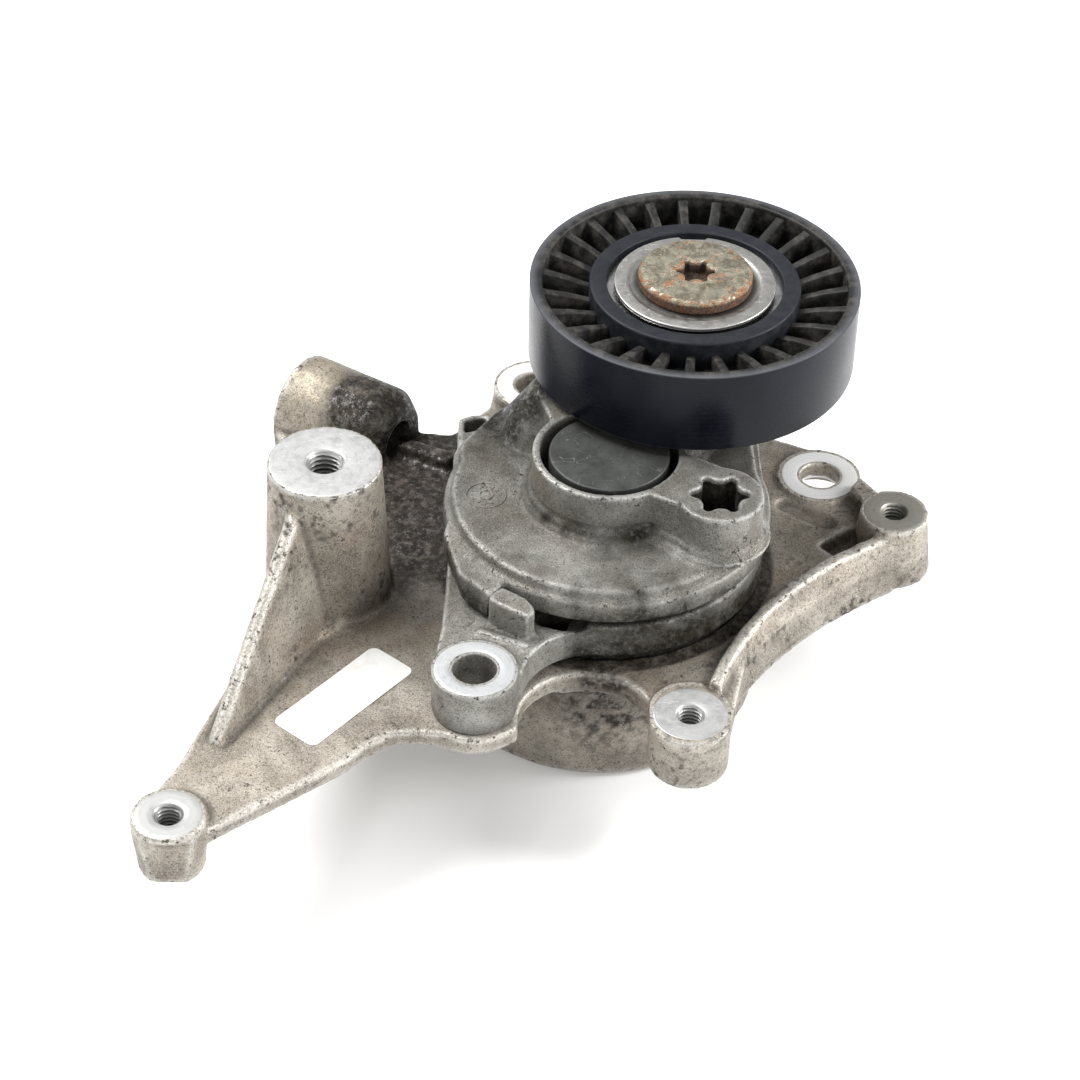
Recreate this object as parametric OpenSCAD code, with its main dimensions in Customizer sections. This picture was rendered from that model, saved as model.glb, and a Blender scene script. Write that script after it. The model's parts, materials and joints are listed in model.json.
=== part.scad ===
// Belt tensioner idler on its cast accessory bracket.
// Origin: arm pivot axis, level with the top face of the bracket plate.
// +Z runs up the pivot towards the idler pulley, +Y away from the scalloped front edge.
// The arm is drawn at its free stop, where its stop lug meets the block on the base.

/* [Idler pulley] */
// Diameter of the smooth belt face
pulley_d = 76; // [75:0.5:78]
// Width of the belt face
pulley_w = 20; // [19:0.5:21]
// Wall thickness of the outer rim
rim_t = 2.6; // [2.4:0.1:3.2]
// Number of radial fins between hub and rim
fin_count = 27; // [24:1:30]
// Thickness of one fin
fin_t = 2.1; // [1.6:0.1:2.4]
// Outer diameter of the smooth hub ring
hub_d = 48.7; // [48:0.1:50]
// Height of the pulley's lower face above the plate
pulley_z = 33.6; // [33.4:0.1:34.2]

/* [Tensioner arm] */
// Distance from the pivot axis to the pulley axis
pivot_to_pulley = 40.9; // [40.5:0.1:42]
// Direction of the pulley from the pivot at the free stop
pulley_angle = 62.4; // [58:0.1:66]
// Radius of the arm's stepped disc at its lower edge
disc_r = 37.6; // [37:0.1:38]
// Level of the disc's top face
disc_top_z = 20; // [19.5:0.1:20.5]
// Level of the collar and wrench platform
platform_z = 31.6; // [31:0.1:31.8]
// Across-points diameter of the six-lobe wrench socket in the arm
wrench_d = 13.2; // [12.8:0.1:13.6]

/* [Tensioner base] */
// Radius of the base flange under the arm
flange_r = 36.2; // [35.8:0.1:36.6]
// Bolt hole diameter in the base ear
ear_hole_d = 9.8; // [9:0.1:10.4]
// Top level of the base ear
ear_top_z = 11; // [10.5:0.1:11.5]
// Wire diameter of the torsion spring
spring_wire_d = 5; // [4.4:0.1:5.2]
// Number of spring coils
spring_turns = 5; // [4.5:0.25:5]

/* [Bracket] */
// Plate thickness of the long left arm
arm_plate_t = 4.2; // [4:0.1:5]
// Thickness of the plate around the cup
plate_t = 6; // [5.5:0.1:7]
// Outer radius of the cup that holds the tensioner
cup_r = 37.4; // [37.2:0.1:38]
// Depth of the cup's underside below the plate's top face
cup_depth = 34; // [33:0.5:35]
// Height of the tall threaded boss above the plate
tall_boss_h = 35.5; // [34:0.5:37]
// Top radius of the tall threaded boss
tall_boss_r = 12.7; // [12.2:0.1:13.2]
// Height of the curved edge rib above the plate at its front end
rib_h = 3; // [2:0.5:4]

/* [Hidden] */
$fn = 96;
eps = 0.01;
through = 1;
run_gap = 0.05;

function dir(angle) = [cos(angle), sin(angle)];
// Outer tangent quadrilateral between two circles
function tangent_quad(a, ra, b, rb) =
    let (phi = atan2(b.y - a.y, b.x - a.x), k = acos((ra - rb) / norm(b - a)))
    [a + ra * dir(phi + k), b + rb * dir(phi + k), b + rb * dir(phi - k), a + ra * dir(phi - k)];
// Point and unit normal on a quadratic curve through three control points
function curve_point(p, t) = pow(1 - t, 2) * p[0] + 2 * t * (1 - t) * p[1] + t * t * p[2];
function curve_normal(p, t) =
    let (d = (1 - t) * (p[1] - p[0]) + t * (p[2] - p[1])) [d.y, -d.x] / norm(d);
// Faces of a solid swept through equal sections, both ends closed
function sweep_faces(steps, sides) = concat(
    [for (i = [0 : steps - 1], j = [0 : sides - 1])
        let (k = (j + 1) % sides)
        [i * sides + j, i * sides + k, (i + 1) * sides + k, (i + 1) * sides + j]],
    [[for (j = [sides - 1 : -1 : 0]) j], [for (j = [0 : sides - 1]) steps * sides + j]]);

module at(p, z = 0) {
    translate([p.x, p.y, z]) children();
}

module disc(p, r) {
    translate(p) circle(r);
}

module band(a, ra, b, rb) {
    disc(a, ra);
    disc(b, rb);
    polygon(tangent_quad(a, ra - eps, b, rb - eps));
}

module slab(z0, z1) {
    translate([0, 0, z0]) linear_extrude(z1 - z0) children();
}

module ring_2d(r_out, r_in) {
    difference() {
        circle(r_out);
        circle(r_in);
    }
}

module ring(r_out, r_in, z0, z1) {
    slab(z0, z1) ring_2d(r_out, r_in);
}

// Part of a flat ring between two angles less than 180 degrees apart
module sector(r_out, r_in, a0, a1) {
    reach = 2 * r_out;
    mid = (a0 + a1) / 2;
    intersection() {
        ring_2d(r_out, r_in);
        polygon([[0, 0], reach * dir(a0), reach * dir(mid), reach * dir(a1)]);
    }
}

module drill(p, r, z0, z1) {
    at(p, z0) cylinder(r = r, h = z1 - z0);
}

module six_lobe(d, z0, z1) {
    root_r = 0.36 * d;
    flank_r = 0.22 * d;
    slab(z0, z1) difference() {
        circle(d / 2);
        for (i = [0 : 5]) rotate(60 * i + 30) translate([root_r + flank_r, 0]) circle(flank_r);
    }
}

// ---- Idler bearing, standard 20 x 42 x 12 mm deep-groove size ----
bearing_bore_r = 10;
bearing_r = 21;
bearing_w = 12;
inner_land_r = 13;
outer_land_r = 18;
ball_d = 6.35;
ball_count = 9;
pitch_r = (bearing_bore_r + bearing_r) / 2;
groove_r = ball_d / 2 + run_gap;
seal_t = 1;
pulley_xy = pivot_to_pulley * dir(pulley_angle);
pulley_top_z = pulley_z + pulley_w;
bearing_offset = 1.4;
bearing_z = pulley_z + pulley_w / 2 + bearing_offset;
bearing_z0 = bearing_z - bearing_w / 2;
bearing_z1 = bearing_z + bearing_w / 2;

// ---- Pulley bolt and its washers ----
washer_r = 18.6;
washer_t = 1.2;
washer_seat_t = 2;
bolt_head_r = 13.15;
bolt_head_z0 = bearing_z1 + washer_seat_t;
bolt_head_t = 3.2;
bolt_socket_d = 8.8;
bolt_socket_h = 2.8;
bolt_chamfer = 0.8;
m10_r = 5;
m8_tap_r = 3.4;
m6_tap_r = 2.5;
seat_z = bearing_z0 - washer_t;
pulley_bolt_len = 22;

// ---- Pivot stack inside the collar ----
shaft_r = 9;
shaft_z0 = -22;
hub_top_z = 21;
washer_z1 = hub_top_z + 1.2;
shaft_neck_r = 7;
front_plate_z1 = washer_z1 + 2.8;
front_plate_r = 13.2;
cap_r = 13.66;
cap_top_z = platform_z - 0.5;
cap_wall = 1.6;
collar_in_r = 15.6;
collar_out_r = 17.4;
centre_head_r = 8;
centre_head_t = 4;

// ---- Arm hub and bushes ----
hub_r = 14.5;
hub_bore_r = 11;
hub_z0 = -9.5;
bush_len = 13;
disc_bottom_z = 12.5;

// ---- Base case and bracket cup ----
case_r = 33.9;
case_wall = 2.9;
case_in_r = case_r - case_wall;
cup_bore_r = case_r + 0.6;
cup_floor_z = -28;
case_floor_z = cup_floor_z + 4;
spigot_r = 12;
spigot_top_z = shaft_z0;
post_r = 16;
post_top_z = -10;
flange_z0 = 1.9;
flange_z1 = 10.8;
spring_r = 22.8;
spring_z0 = case_floor_z + spring_wire_d / 2 + 0.6;
spring_z1 = 8.6 - spring_wire_d / 2;
skirt_r = 28.5;
skirt_wall = 2;
skirt_z0 = 1;

// ---- Feature positions on the bracket and base ----
ear_xy = [-28.5, -51.2];
ear_r = 9.4;
tall_xy = [-63, -11.5];
tall_base_r = 14.6;
left_xy = [-90.7, -88.6];
left_boss_r = 8.1;
left_boss_top_z = 2;
front_xy = [18.5, -53.2];
front_boss_r = 8.9;
front_boss_top_z = 1.2;
right_xy = [67, 10.2];
right_boss_r = 7.8;
right_boss_top_z = 8;
bore_boss_xy = [51.5, 32.2];
bore_boss_r = 10;
bore_boss_top_z = 0.8;
bore_boss_hole_r = 4.6;
side_counterbore_r = 7.4;
side_counterbore_z = -3.8;
rear_xy = [-17.5, 63];
rear_boss_top_z = 3;
boss_bottom_z = -12.5;
flat_boss_bottom_z = -plate_t - 1;
rib_bottom_z = -8;
lug_a = [-74.6, 56.7];
lug_b = [-53.6, 43.5];
lug_r = 12;
lug_z = 1;
lug_hole_r = 5.25;
lug_nose = 4.8;
wrench_xy = [24.4, -14.4];

// ==== Bracket ====
scallop_xy = [-4, -54.7];
scallop_r = 15;
rib_curve = [[22.5, -46], [33, -12], [65, 4.5]];
rib_rise = 3.5;
rib_crest_w = 2.4;
rib_steps = 16;
left_arm = [[-96.5, -84], [-90.8, -71.3], [-82.7, -45.7], [-77.3, -14], [-52, -8], [-33, -30],
    [-33, -60.6], [-40.8, -59.8], [-46, -60.6], [-51, -64.4], [-56, -70], [-86.5, -94.5]];

// Edge rib with a narrow crest that climbs towards the right boss and a spreading outer wall
module edge_rib() {
    lap = 0.4;
    foot_w = 4.4;
    bulge = 2.6;
    function side(t, w) = curve_point(rib_curve, t) + w * curve_normal(rib_curve, t);
    section = [for (i = [0 : rib_steps])
        let (t = i / rib_steps, crest_z = rib_h + rib_rise * t, foot = foot_w + bulge * sin(150 * t))
        each [[each side(t, -lap), rib_bottom_z], [each side(t, foot), rib_bottom_z],
            [each side(t, rib_crest_w), crest_z], [each side(t, -lap), crest_z]]];
    polyhedron(section, sweep_faces(rib_steps, 4));
}

module plate_outline() {
    inner = [for (i = [0 : rib_steps]) curve_point(rib_curve, i / rib_steps)];
    origin = [0, 0];
    difference() {
        union() {
            band(tall_xy, tall_base_r, origin, cup_r);
            band(front_xy, front_boss_r, origin, cup_r);
            band(bore_boss_xy, bore_boss_r, origin, cup_r);
            band(rear_xy, bore_boss_r, origin, cup_r);
            polygon([origin, bore_boss_xy + [3.6, 9.3], rear_xy + [3.6, 9.3]]);
            polygon(concat([origin], inner, [right_xy, bore_boss_xy + [9.5, -3]]));
            polygon([[-33, 0], tall_xy, [-72, 30], lug_a - [6.4, 10.2], lug_a - [2.8, 5.3],
                lug_b - [3.6, 4.8], lug_b + [6.5, 3], [-36, 46]]);
            polygon([[-20, 25], [-37.5, 45.5], rear_xy - [9.4, 3.5]]);
        }
        disc(scallop_xy, scallop_r);
    }
}

module gusset() {
    crest_w = 3.6;
    crest_top = [-68.6, -21.5, 29.5];
    tip = [-83.4, -65, 0.2];
    foot = [[-63.5, -29.5], [-62, -16], [-75.5, -18]];
    foot_t = 0.6;
    hull() {
        translate(crest_top) sphere(d = crest_w, $fn = 16);
        translate(tip) sphere(d = crest_w, $fn = 16);
        translate([tall_xy.x, tall_xy.y, crest_top.z - 1]) cube(2, center = true);
        for (p = foot) at(p, -foot_t) cylinder(d = 1, h = foot_t, $fn = 12);
    }
}

module along_lug() {
    span = lug_b - lug_a;
    at(lug_a, lug_z) rotate([0, 90, atan2(span.y, span.x)]) children();
}

// Cross-drilled barrel that narrows to a nose at its inner end
module lug() {
    barrel = norm(lug_b - lug_a);
    nose_r = 8.4;
    along_lug() {
        cylinder(r = lug_r, h = barrel);
        translate([0, 0, barrel]) cylinder(r1 = lug_r, r2 = nose_r, h = lug_nose);
    }
}

module lug_bore() {
    bore_len = norm(lug_b - lug_a) + lug_nose + 2 * through;
    along_lug() translate([0, 0, -through]) cylinder(r = lug_hole_r, h = bore_len);
}

// Small boss at the arm's far end, narrowing downwards, with a flat on its front side
module left_boss() {
    foot_r = 7.1;
    flat = 6.2;
    waist_z = -1.5;
    difference() {
        union() {
            at(left_xy, boss_bottom_z)
                cylinder(r1 = foot_r, r2 = left_boss_r, h = waist_z - boss_bottom_z);
            drill(left_xy, left_boss_r, waist_z, left_boss_top_z - 1);
        }
        at(left_xy - [left_boss_r, 2 * left_boss_r + flat], boss_bottom_z - through)
            cube(2 * left_boss_r);
    }
    drill(left_xy, left_boss_r - 0.4, waist_z + 1.6, left_boss_top_z);
}

module front_boss_outline(r) {
    band(front_xy - [0, 1], r, front_xy + [0, 1.6], r);
}

module bracket_solid() {
    ear_pad_z = -4.8;
    boss_draft = 1.9;
    cup_chamfer = 1.5;
    cup_shift = [-1.2, 0];
    gusset_ridge = [[-57.4, -24.5], [-64.4, -32.6], [-82, -63], [-80, -52], [-70, -22]];
    slab(-arm_plate_t, 0) polygon(left_arm);
    slab(-plate_t, 0) plate_outline();
    slab(-arm_plate_t, 1) polygon(gusset_ridge);
    slab(ear_pad_z, 0) difference() {
        band(ear_xy, ear_r + 1.4, [0, 0], cup_r - 1);
        disc(scallop_xy, scallop_r);
    }
    edge_rib();
    drill(cup_shift, cup_r, cup_chamfer - cup_depth, 0);
    at(cup_shift, -cup_depth) cylinder(r1 = cup_r - cup_chamfer, r2 = cup_r, h = cup_chamfer);
    at(tall_xy, -arm_plate_t)
        cylinder(r1 = tall_base_r, r2 = tall_boss_r, h = tall_boss_h + arm_plate_t);
    left_boss();
    slab(boss_bottom_z, front_boss_top_z) front_boss_outline(front_boss_r);
    at(right_xy, rib_bottom_z) cylinder(
        r1 = right_boss_r + boss_draft, r2 = right_boss_r, h = right_boss_top_z - rib_bottom_z);
    slab(flat_boss_bottom_z, bore_boss_top_z) disc(bore_boss_xy, bore_boss_r);
    slab(flat_boss_bottom_z, rear_boss_top_z) disc(rear_xy, bore_boss_r);
    slab(-plate_t, rib_h) polygon([lug_b + [3, -6], lug_b + [7, -3.5], [-34.5, 34.5], [-38, 31]]);
    slab(-plate_t, rib_h + 1) polygon(concat(
        [for (p = [[6.5, -7.6], [9.3, -3.6]]) bore_boss_xy + p],
        [for (p = [[2, 6], [-5, 5]]) right_xy + p]));
    gusset();
    lug();
}

module bracket_casting() {
    blind = 24;
    chamfer = 0.9;
    pad_recess = 1;
    pocket_depth = 4;
    color("#a79d8e") difference() {
        union() {
            difference() {
                bracket_solid();
                drill([0, 0], cup_bore_r, cup_floor_z, through);
            }
            drill([0, 0], spigot_r, cup_floor_z - through, spigot_top_z);
        }
        drill([0, 0], m10_r, -cup_depth - through, 0);
        drill(tall_xy, m8_tap_r, tall_boss_h - blind, tall_boss_h + through);
        at(tall_xy, tall_boss_h - chamfer)
            cylinder(r1 = m8_tap_r, r2 = m8_tap_r + chamfer + eps, h = chamfer + eps);
        drill(left_xy, m6_tap_r, boss_bottom_z - through, left_boss_top_z + through);
        drill(front_xy, m6_tap_r, boss_bottom_z - through, front_boss_top_z + through);
        drill(right_xy, m6_tap_r, rib_bottom_z - through, right_boss_top_z + through);
        drill(bore_boss_xy, bore_boss_hole_r, flat_boss_bottom_z - through, bore_boss_top_z + through);
        drill(bore_boss_xy, side_counterbore_r, flat_boss_bottom_z - through, side_counterbore_z);
        drill(rear_xy, bore_boss_hole_r, flat_boss_bottom_z - through, rear_boss_top_z + through);
        drill(ear_xy, ear_hole_d / 2, -plate_t - through, through);
        slab(front_boss_top_z, rib_h + rib_rise) front_boss_outline(front_boss_r - 0.2);
        slab(-pad_recess, through) band([42.6, 21.8], 2.3, [52.4, 15.6], 2.5);
        slab(-pocket_depth, through) polygon([[50, 7.2], [59.2, 14.6], [59.6, 5], [55.5, 1.2]]);
        lug_bore();
    }
}

module blank_label() {
    label_t = 0.15;
    label_size = [32.5, 12.3];
    corner_r = 1.8;
    centre = [-57, -49];
    turn = 51;
    color("#f4f3ef") at(centre, 0) rotate(turn) slab(0, label_t) {
        square(label_size - [2 * corner_r, 0], center = true);
        square(label_size - [0, 2 * corner_r], center = true);
        for (x = [-1, 1], y = [-1, 1])
            disc([x * (label_size.x / 2 - corner_r), y * (label_size.y / 2 - corner_r)], corner_r);
    }
}

// ==== Tensioner base ====
stop_block_z = 16.8;
web_z1 = 9.8;
pocket_lug_z = 13;
// Arc-shaped slot under the disc: the arm's tang travels in it between its two ends
travel = 60;
tang_angle = 100;
tang_half = 4;
slot_r_in = 32.2;
slot_r_out = 34.8;
slot_z0 = 6.8;

module base_web() {
    fillet_xy = [-2.2, -52.2];
    fillet_r = 16;
    outline = [[0, 0], [-35.6, -6], [-36.3, -36], [-37.9, -50.5], [-2, -50.5], [0, -flange_r]];
    slab(flange_z0, web_z1) difference() {
        polygon(outline);
        disc(fillet_xy, fillet_r);
    }
}

module stop_slot() {
    end_gap = 0.4;
    first = tang_angle - travel - tang_half - end_gap;
    last = tang_angle + tang_half + end_gap;
    slab(slot_z0, flange_z1 + through) sector(slot_r_out, slot_r_in, first, last);
}

module base_shell() {
    stop_block = [[-26, -35], [-26, -33.4], [-23.2, -30.4], [-17.9, -34], [-16, -36.8],
        [-15.8, -38.7], [-17.6, -40.4]];
    ridge = [[-27.6, -38.2], [-17.8, -42.4]];
    ridge_r = 0.9;
    pocket_lug = [[-35.2, 23.6], [-35.2, 35.4], [-31.6, 37.2], [-24.4, 37.2], [-20, 27]];
    pocket = [[-33.6, 30], [-33.6, 34.2], [-30.8, 35.7], [-28.6, 35.7], [-28.6, 32]];
    pocket_h = 5;
    sweep_r = 41.3;
    difference() {
        union() {
            base_web();
            ring(flange_r, case_in_r, flange_z0, flange_z1);
            drill([0, 0], case_r, cup_floor_z, flange_z1);
            slab(0, ear_top_z) disc(ear_xy, ear_r);
            slab(flange_z0, stop_block_z) polygon(stop_block);
            slab(flange_z0, web_z1 + ridge_r) band(ridge[0], ridge_r, ridge[1], ridge_r);
            slab(flange_z0 + 1.4, flange_z1) polygon(pocket_lug);
            slab(flange_z1, pocket_lug_z) difference() {
                polygon(pocket_lug);
                circle(sweep_r);
            }
        }
        drill([0, 0], case_in_r, case_floor_z, stop_block_z + through);
        drill(ear_xy, ear_hole_d / 2, -through, ear_top_z + through);
        slab(pocket_lug_z - pocket_h, pocket_lug_z + through) polygon(pocket);
        slab(4, flange_z1 + through) sector(disc_r, case_in_r + 1.2, -114, -104);
        slab(flange_z1 - 1.5, flange_z1 + through) sector(disc_r, case_in_r + 1.2, -104.1, -97);
        stop_slot();
    }
}

module tensioner_base() {
    abutment = 12;
    color("#8b8b88") difference() {
        union() {
            base_shell();
            drill([0, 0], post_r, case_floor_z - through, post_top_z);
            slab(case_floor_z - through, spring_z0 + spring_wire_d / 4)
                sector(spring_r + spring_wire_d / 2, spring_r - spring_wire_d / 2, -abutment - 1.5, -1.5);
        }
        drill([0, 0], spigot_r + 0.3, cup_floor_z - through, spigot_top_z);
        drill([0, 0], shaft_r, cup_floor_z, post_top_z + through);
    }
}

module pivot_shaft() {
    color("silver") {
        ring(shaft_r, m10_r + 0.2, shaft_z0, washer_z1);
        ring(shaft_neck_r, m10_r + 0.2, washer_z1, front_plate_z1);
    }
}

module front_plate() {
    color("dimgray") ring(front_plate_r, shaft_neck_r, washer_z1, front_plate_z1);
}

module centre_bolt() {
    color("gray") difference() {
        union() {
            drill([0, 0], m10_r, -cup_depth + 1, front_plate_z1);
            drill([0, 0], centre_head_r, front_plate_z1, front_plate_z1 + centre_head_t);
        }
        six_lobe(bolt_socket_d, front_plate_z1 + 1, front_plate_z1 + centre_head_t + through);
    }
}

module pivot_cap() {
    color("#4c4d4c") {
        ring(cap_r, front_plate_r, washer_z1 + 0.3, cap_top_z - cap_wall);
        drill([0, 0], cap_r, cap_top_z - cap_wall, cap_top_z);
    }
}

module thrust_washer() {
    color("#c9b37e") ring(collar_in_r - 1.4, shaft_r + run_gap, hub_top_z, washer_z1);
}

module bush(z0) {
    color("#2f3b33") ring(hub_bore_r, shaft_r + run_gap, z0, z0 + bush_len);
}

module upper_bush() {
    bush(hub_top_z - bush_len);
}

module lower_bush() {
    bush(hub_z0);
}

module friction_ring() {
    color("#3a3a36") ring(case_in_r - run_gap, skirt_r, skirt_z0, disc_bottom_z);
}

// Round wire swept along a helix
module torsion_spring() {
    steps_per_turn = 24;
    sides = 8;
    wire_r = spring_wire_d / 2;
    steps = floor(steps_per_turn * spring_turns);
    rise = (spring_z1 - spring_z0) / steps;
    section = [for (i = [0 : steps], j = [0 : sides - 1])
        let (a = 360 * i / steps_per_turn, b = 360 * j / sides, r = spring_r + wire_r * cos(b))
        [r * cos(a), r * sin(a), spring_z0 + i * rise + wire_r * sin(b)]];
    color("#55585c") polyhedron(section, sweep_faces(steps, sides));
}

// ==== Tensioner arm ====
seat_r = 12.8;
shoulder_xy = [-12.4, 24.4];

module platform_outline(grow) {
    disc([0, 0], collar_out_r + grow);
    disc(wrench_xy, 9.8 + grow);
    band([0, 0], 9 + grow, wrench_xy - [1, -1], 8.6 + grow);
    band([2, 6], 12 + grow, pulley_xy, seat_r + grow);
    band([-4, 8], 8 + grow, shoulder_xy, 5 + grow);
    band(shoulder_xy, 5 + grow, pulley_xy, seat_r - 2 + grow);
}

// Lug on the disc's edge that meets the block on the base; its top slopes down to the tip
module stop_lug() {
    outline = [[-36, -8], [-36.8, -13], [-31.4, -31], [-29, -35.5], [-26.2, -35.5],
        [-26.2, -33.25], [-23.4, -30.2], [-14, -20]];
    facing = -135;
    lug_z0 = flange_z1 + 0.4;
    profile = [[20, lug_z0], [20, 17.6], [35, 17.4], [41.3, 16], [43.2, lug_z0]];
    intersection() {
        difference() {
            slab(lug_z0, disc_top_z) polygon(outline);
            drill([0, 0], case_in_r + 1, lug_z0 - through, disc_bottom_z);
        }
        rotate([90, 0, facing]) linear_extrude(2 * disc_r, center = true) polygon(profile);
    }
}

// Web that fills the corner between the disc and the shoulder at the rear
module rear_web(inset) {
    band([-23.5, 13.6], 12.2 - inset, [-17.6, 23.3], 12 - inset);
}

module arm_body() {
    web_z0 = 13.6;
    rim = [[hub_r, disc_bottom_z], [skirt_r - skirt_wall, disc_bottom_z], [disc_r - 1, disc_bottom_z],
        [disc_r, disc_bottom_z + 0.8], [disc_r - 0.5, disc_top_z - 2.6], [disc_r - 1.9, disc_top_z - 2.1],
        [disc_r - 2.2, disc_top_z - 0.6], [disc_r - 2.9, disc_top_z], [hub_r, disc_top_z]];
    rotate_extrude() polygon(rim);
    ring(hub_r, hub_bore_r, hub_z0, hub_top_z);
    ring(skirt_r, skirt_r - skirt_wall, skirt_z0, disc_bottom_z);
    slab(disc_bottom_z, disc_top_z - 2.4) band([0, 0], disc_r - 1.4, pulley_xy, seat_r + 3);
    slab(disc_bottom_z, disc_top_z) band([0, 0], disc_r - 3, pulley_xy, seat_r + 1);
    slab(web_z0, disc_top_z - 2.4) rear_web(0);
    slab(web_z0, disc_top_z) rear_web(1.6);
    stop_lug();
    at(shoulder_xy, disc_top_z - 2) cylinder(r1 = 14.5, r2 = 5.2, h = platform_z - disc_top_z + 2);
    slab(disc_top_z, disc_top_z + 1) platform_outline(2.2);
    slab(disc_top_z, disc_top_z + 2.4) platform_outline(1);
    slab(disc_top_z, platform_z) platform_outline(0);
    slab(disc_top_z, seat_z) disc(pulley_xy, seat_r);
    slab(seat_z, bearing_z1 - 0.6) disc(pulley_xy, bearing_bore_r - eps);
}

module tensioner_arm() {
    socket_depth = 10;
    color("#8d8e8c") {
        difference() {
            arm_body();
            drill([0, 0], hub_bore_r, hub_z0 - through, hub_top_z + through);
            drill([0, 0], collar_in_r, hub_top_z, platform_z + through);
            drill(pulley_xy, m10_r, bolt_head_z0 - pulley_bolt_len - 1, bearing_z1 + through);
            at(wrench_xy) six_lobe(wrench_d, platform_z - socket_depth, platform_z + through);
        }
        slab(slot_z0 + 0.3, disc_bottom_z)
            sector(slot_r_out - 0.2, slot_r_in + 0.2, tang_angle - tang_half, tang_angle + tang_half);
    }
}

// ==== Idler ====
module rear_dust_washer() {
    color("lightgray") at(pulley_xy) ring(washer_r - 2, bearing_bore_r, seat_z, bearing_z0);
}

module bearing_ring(r_out, r_in) {
    at(pulley_xy, bearing_z) rotate_extrude() difference() {
        translate([r_in, -bearing_w / 2]) square([r_out - r_in, bearing_w]);
        disc([pitch_r, 0], groove_r);
    }
}

module bearing_inner_ring() {
    color("gainsboro") bearing_ring(inner_land_r, bearing_bore_r);
}

module bearing_outer_ring() {
    color("gainsboro") bearing_ring(bearing_r, outer_land_r);
}

module each_ball() {
    at(pulley_xy, bearing_z)
        for (i = [0 : ball_count - 1])
            rotate(360 / ball_count * i) translate([pitch_r, 0, 0]) children();
}

module bearing_balls() {
    color("whitesmoke") each_ball() sphere(d = ball_d, $fn = 32);
}

module bearing_cage() {
    cage_h = 8;
    cage_half_t = 0.9;
    pocket_r = ball_d / 2 + 0.15;
    color("#b08d4f") difference() {
        at(pulley_xy, bearing_z - cage_h / 2)
            ring(pitch_r + cage_half_t, pitch_r - cage_half_t, 0, cage_h);
        each_ball() rotate([0, 90, 0]) cylinder(r = pocket_r, h = 4 * cage_half_t, center = true);
    }
}

module seal(z0) {
    color("#26282b") at(pulley_xy) ring(outer_land_r, inner_land_r + run_gap, z0, z0 + seal_t);
}

module upper_seal() {
    seal(bearing_z1 - seal_t - 0.3);
}

module lower_seal() {
    seal(bearing_z0 + 0.3);
}

module idler_pulley() {
    rim_in_r = pulley_d / 2 - rim_t;
    lip_r = 20.3;
    hub_z0 = pulley_z + 0.5;
    hub_z1 = pulley_top_z - 0.5;
    web_half = 1;
    fin_drop = 3.6;
    fin = [[hub_d / 2 - 1, hub_z0 + fin_drop], [rim_in_r + 1, pulley_z + 1],
        [rim_in_r + 1, pulley_top_z - 1], [hub_d / 2 - 1, hub_z1 - fin_drop]];
    color("#1d1f22") at(pulley_xy) {
        ring(pulley_d / 2, rim_in_r, pulley_z, pulley_top_z);
        ring(hub_d / 2, bearing_r, hub_z0, hub_z1);
        ring(bearing_r, lip_r, bearing_z1, hub_z1);
        ring(bearing_r, lip_r, hub_z0, bearing_z0);
        ring(rim_in_r, hub_d / 2, bearing_z - web_half, bearing_z + web_half);
        for (i = [0 : fin_count - 1]) rotate([90, 0, 360 / fin_count * i])
            linear_extrude(fin_t, center = true) polygon(fin);
    }
}

module front_dust_washer() {
    notch = [5.8, 1.4];
    flange_t = 1;
    flange_top = bolt_head_z0 + 0.2;
    section = [[m10_r + 0.2, bearing_z1], [inner_land_r, bearing_z1],
        [inner_land_r + 0.4, flange_top - flange_t], [washer_r, flange_top - flange_t],
        [washer_r, flange_top], [bolt_head_r + 1.4, flange_top],
        [bolt_head_r + 0.8, bolt_head_z0], [m10_r + 0.2, bolt_head_z0]];
    color("lightgray") at(pulley_xy) difference() {
        rotate_extrude() polygon(section);
        translate([-notch.x / 2, washer_r - notch.y, flange_top - 2 * flange_t])
            cube([notch.x, 2 * notch.y, 3 * flange_t]);
    }
}

module pulley_bolt() {
    head_z1 = bolt_head_z0 + bolt_head_t;
    tip_z = bolt_head_z0 - pulley_bolt_len;
    head = [[0, tip_z], [m10_r - 0.8, tip_z], [m10_r - eps, tip_z + 0.8], [m10_r - eps, bolt_head_z0],
        [bolt_head_r, bolt_head_z0], [bolt_head_r, head_z1 - bolt_chamfer],
        [bolt_head_r - bolt_chamfer, head_z1], [0, head_z1]];
    color("#a89878") at(pulley_xy) difference() {
        rotate_extrude() polygon(head);
        six_lobe(bolt_socket_d, head_z1 - bolt_socket_h, head_z1 + through);
    }
}

bracket_casting();
blank_label();
tensioner_base();
pivot_shaft();
front_plate();
centre_bolt();
pivot_cap();
thrust_washer();
upper_bush();
lower_bush();
friction_ring();
torsion_spring();
tensioner_arm();
rear_dust_washer();
bearing_inner_ring();
bearing_outer_ring();
bearing_balls();
bearing_cage();
upper_seal();
lower_seal();
idler_pulley();
front_dust_washer();
pulley_bolt();
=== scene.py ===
import json
import math
import bpy
import bmesh
import numpy as np
from mathutils import Matrix, Vector


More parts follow.
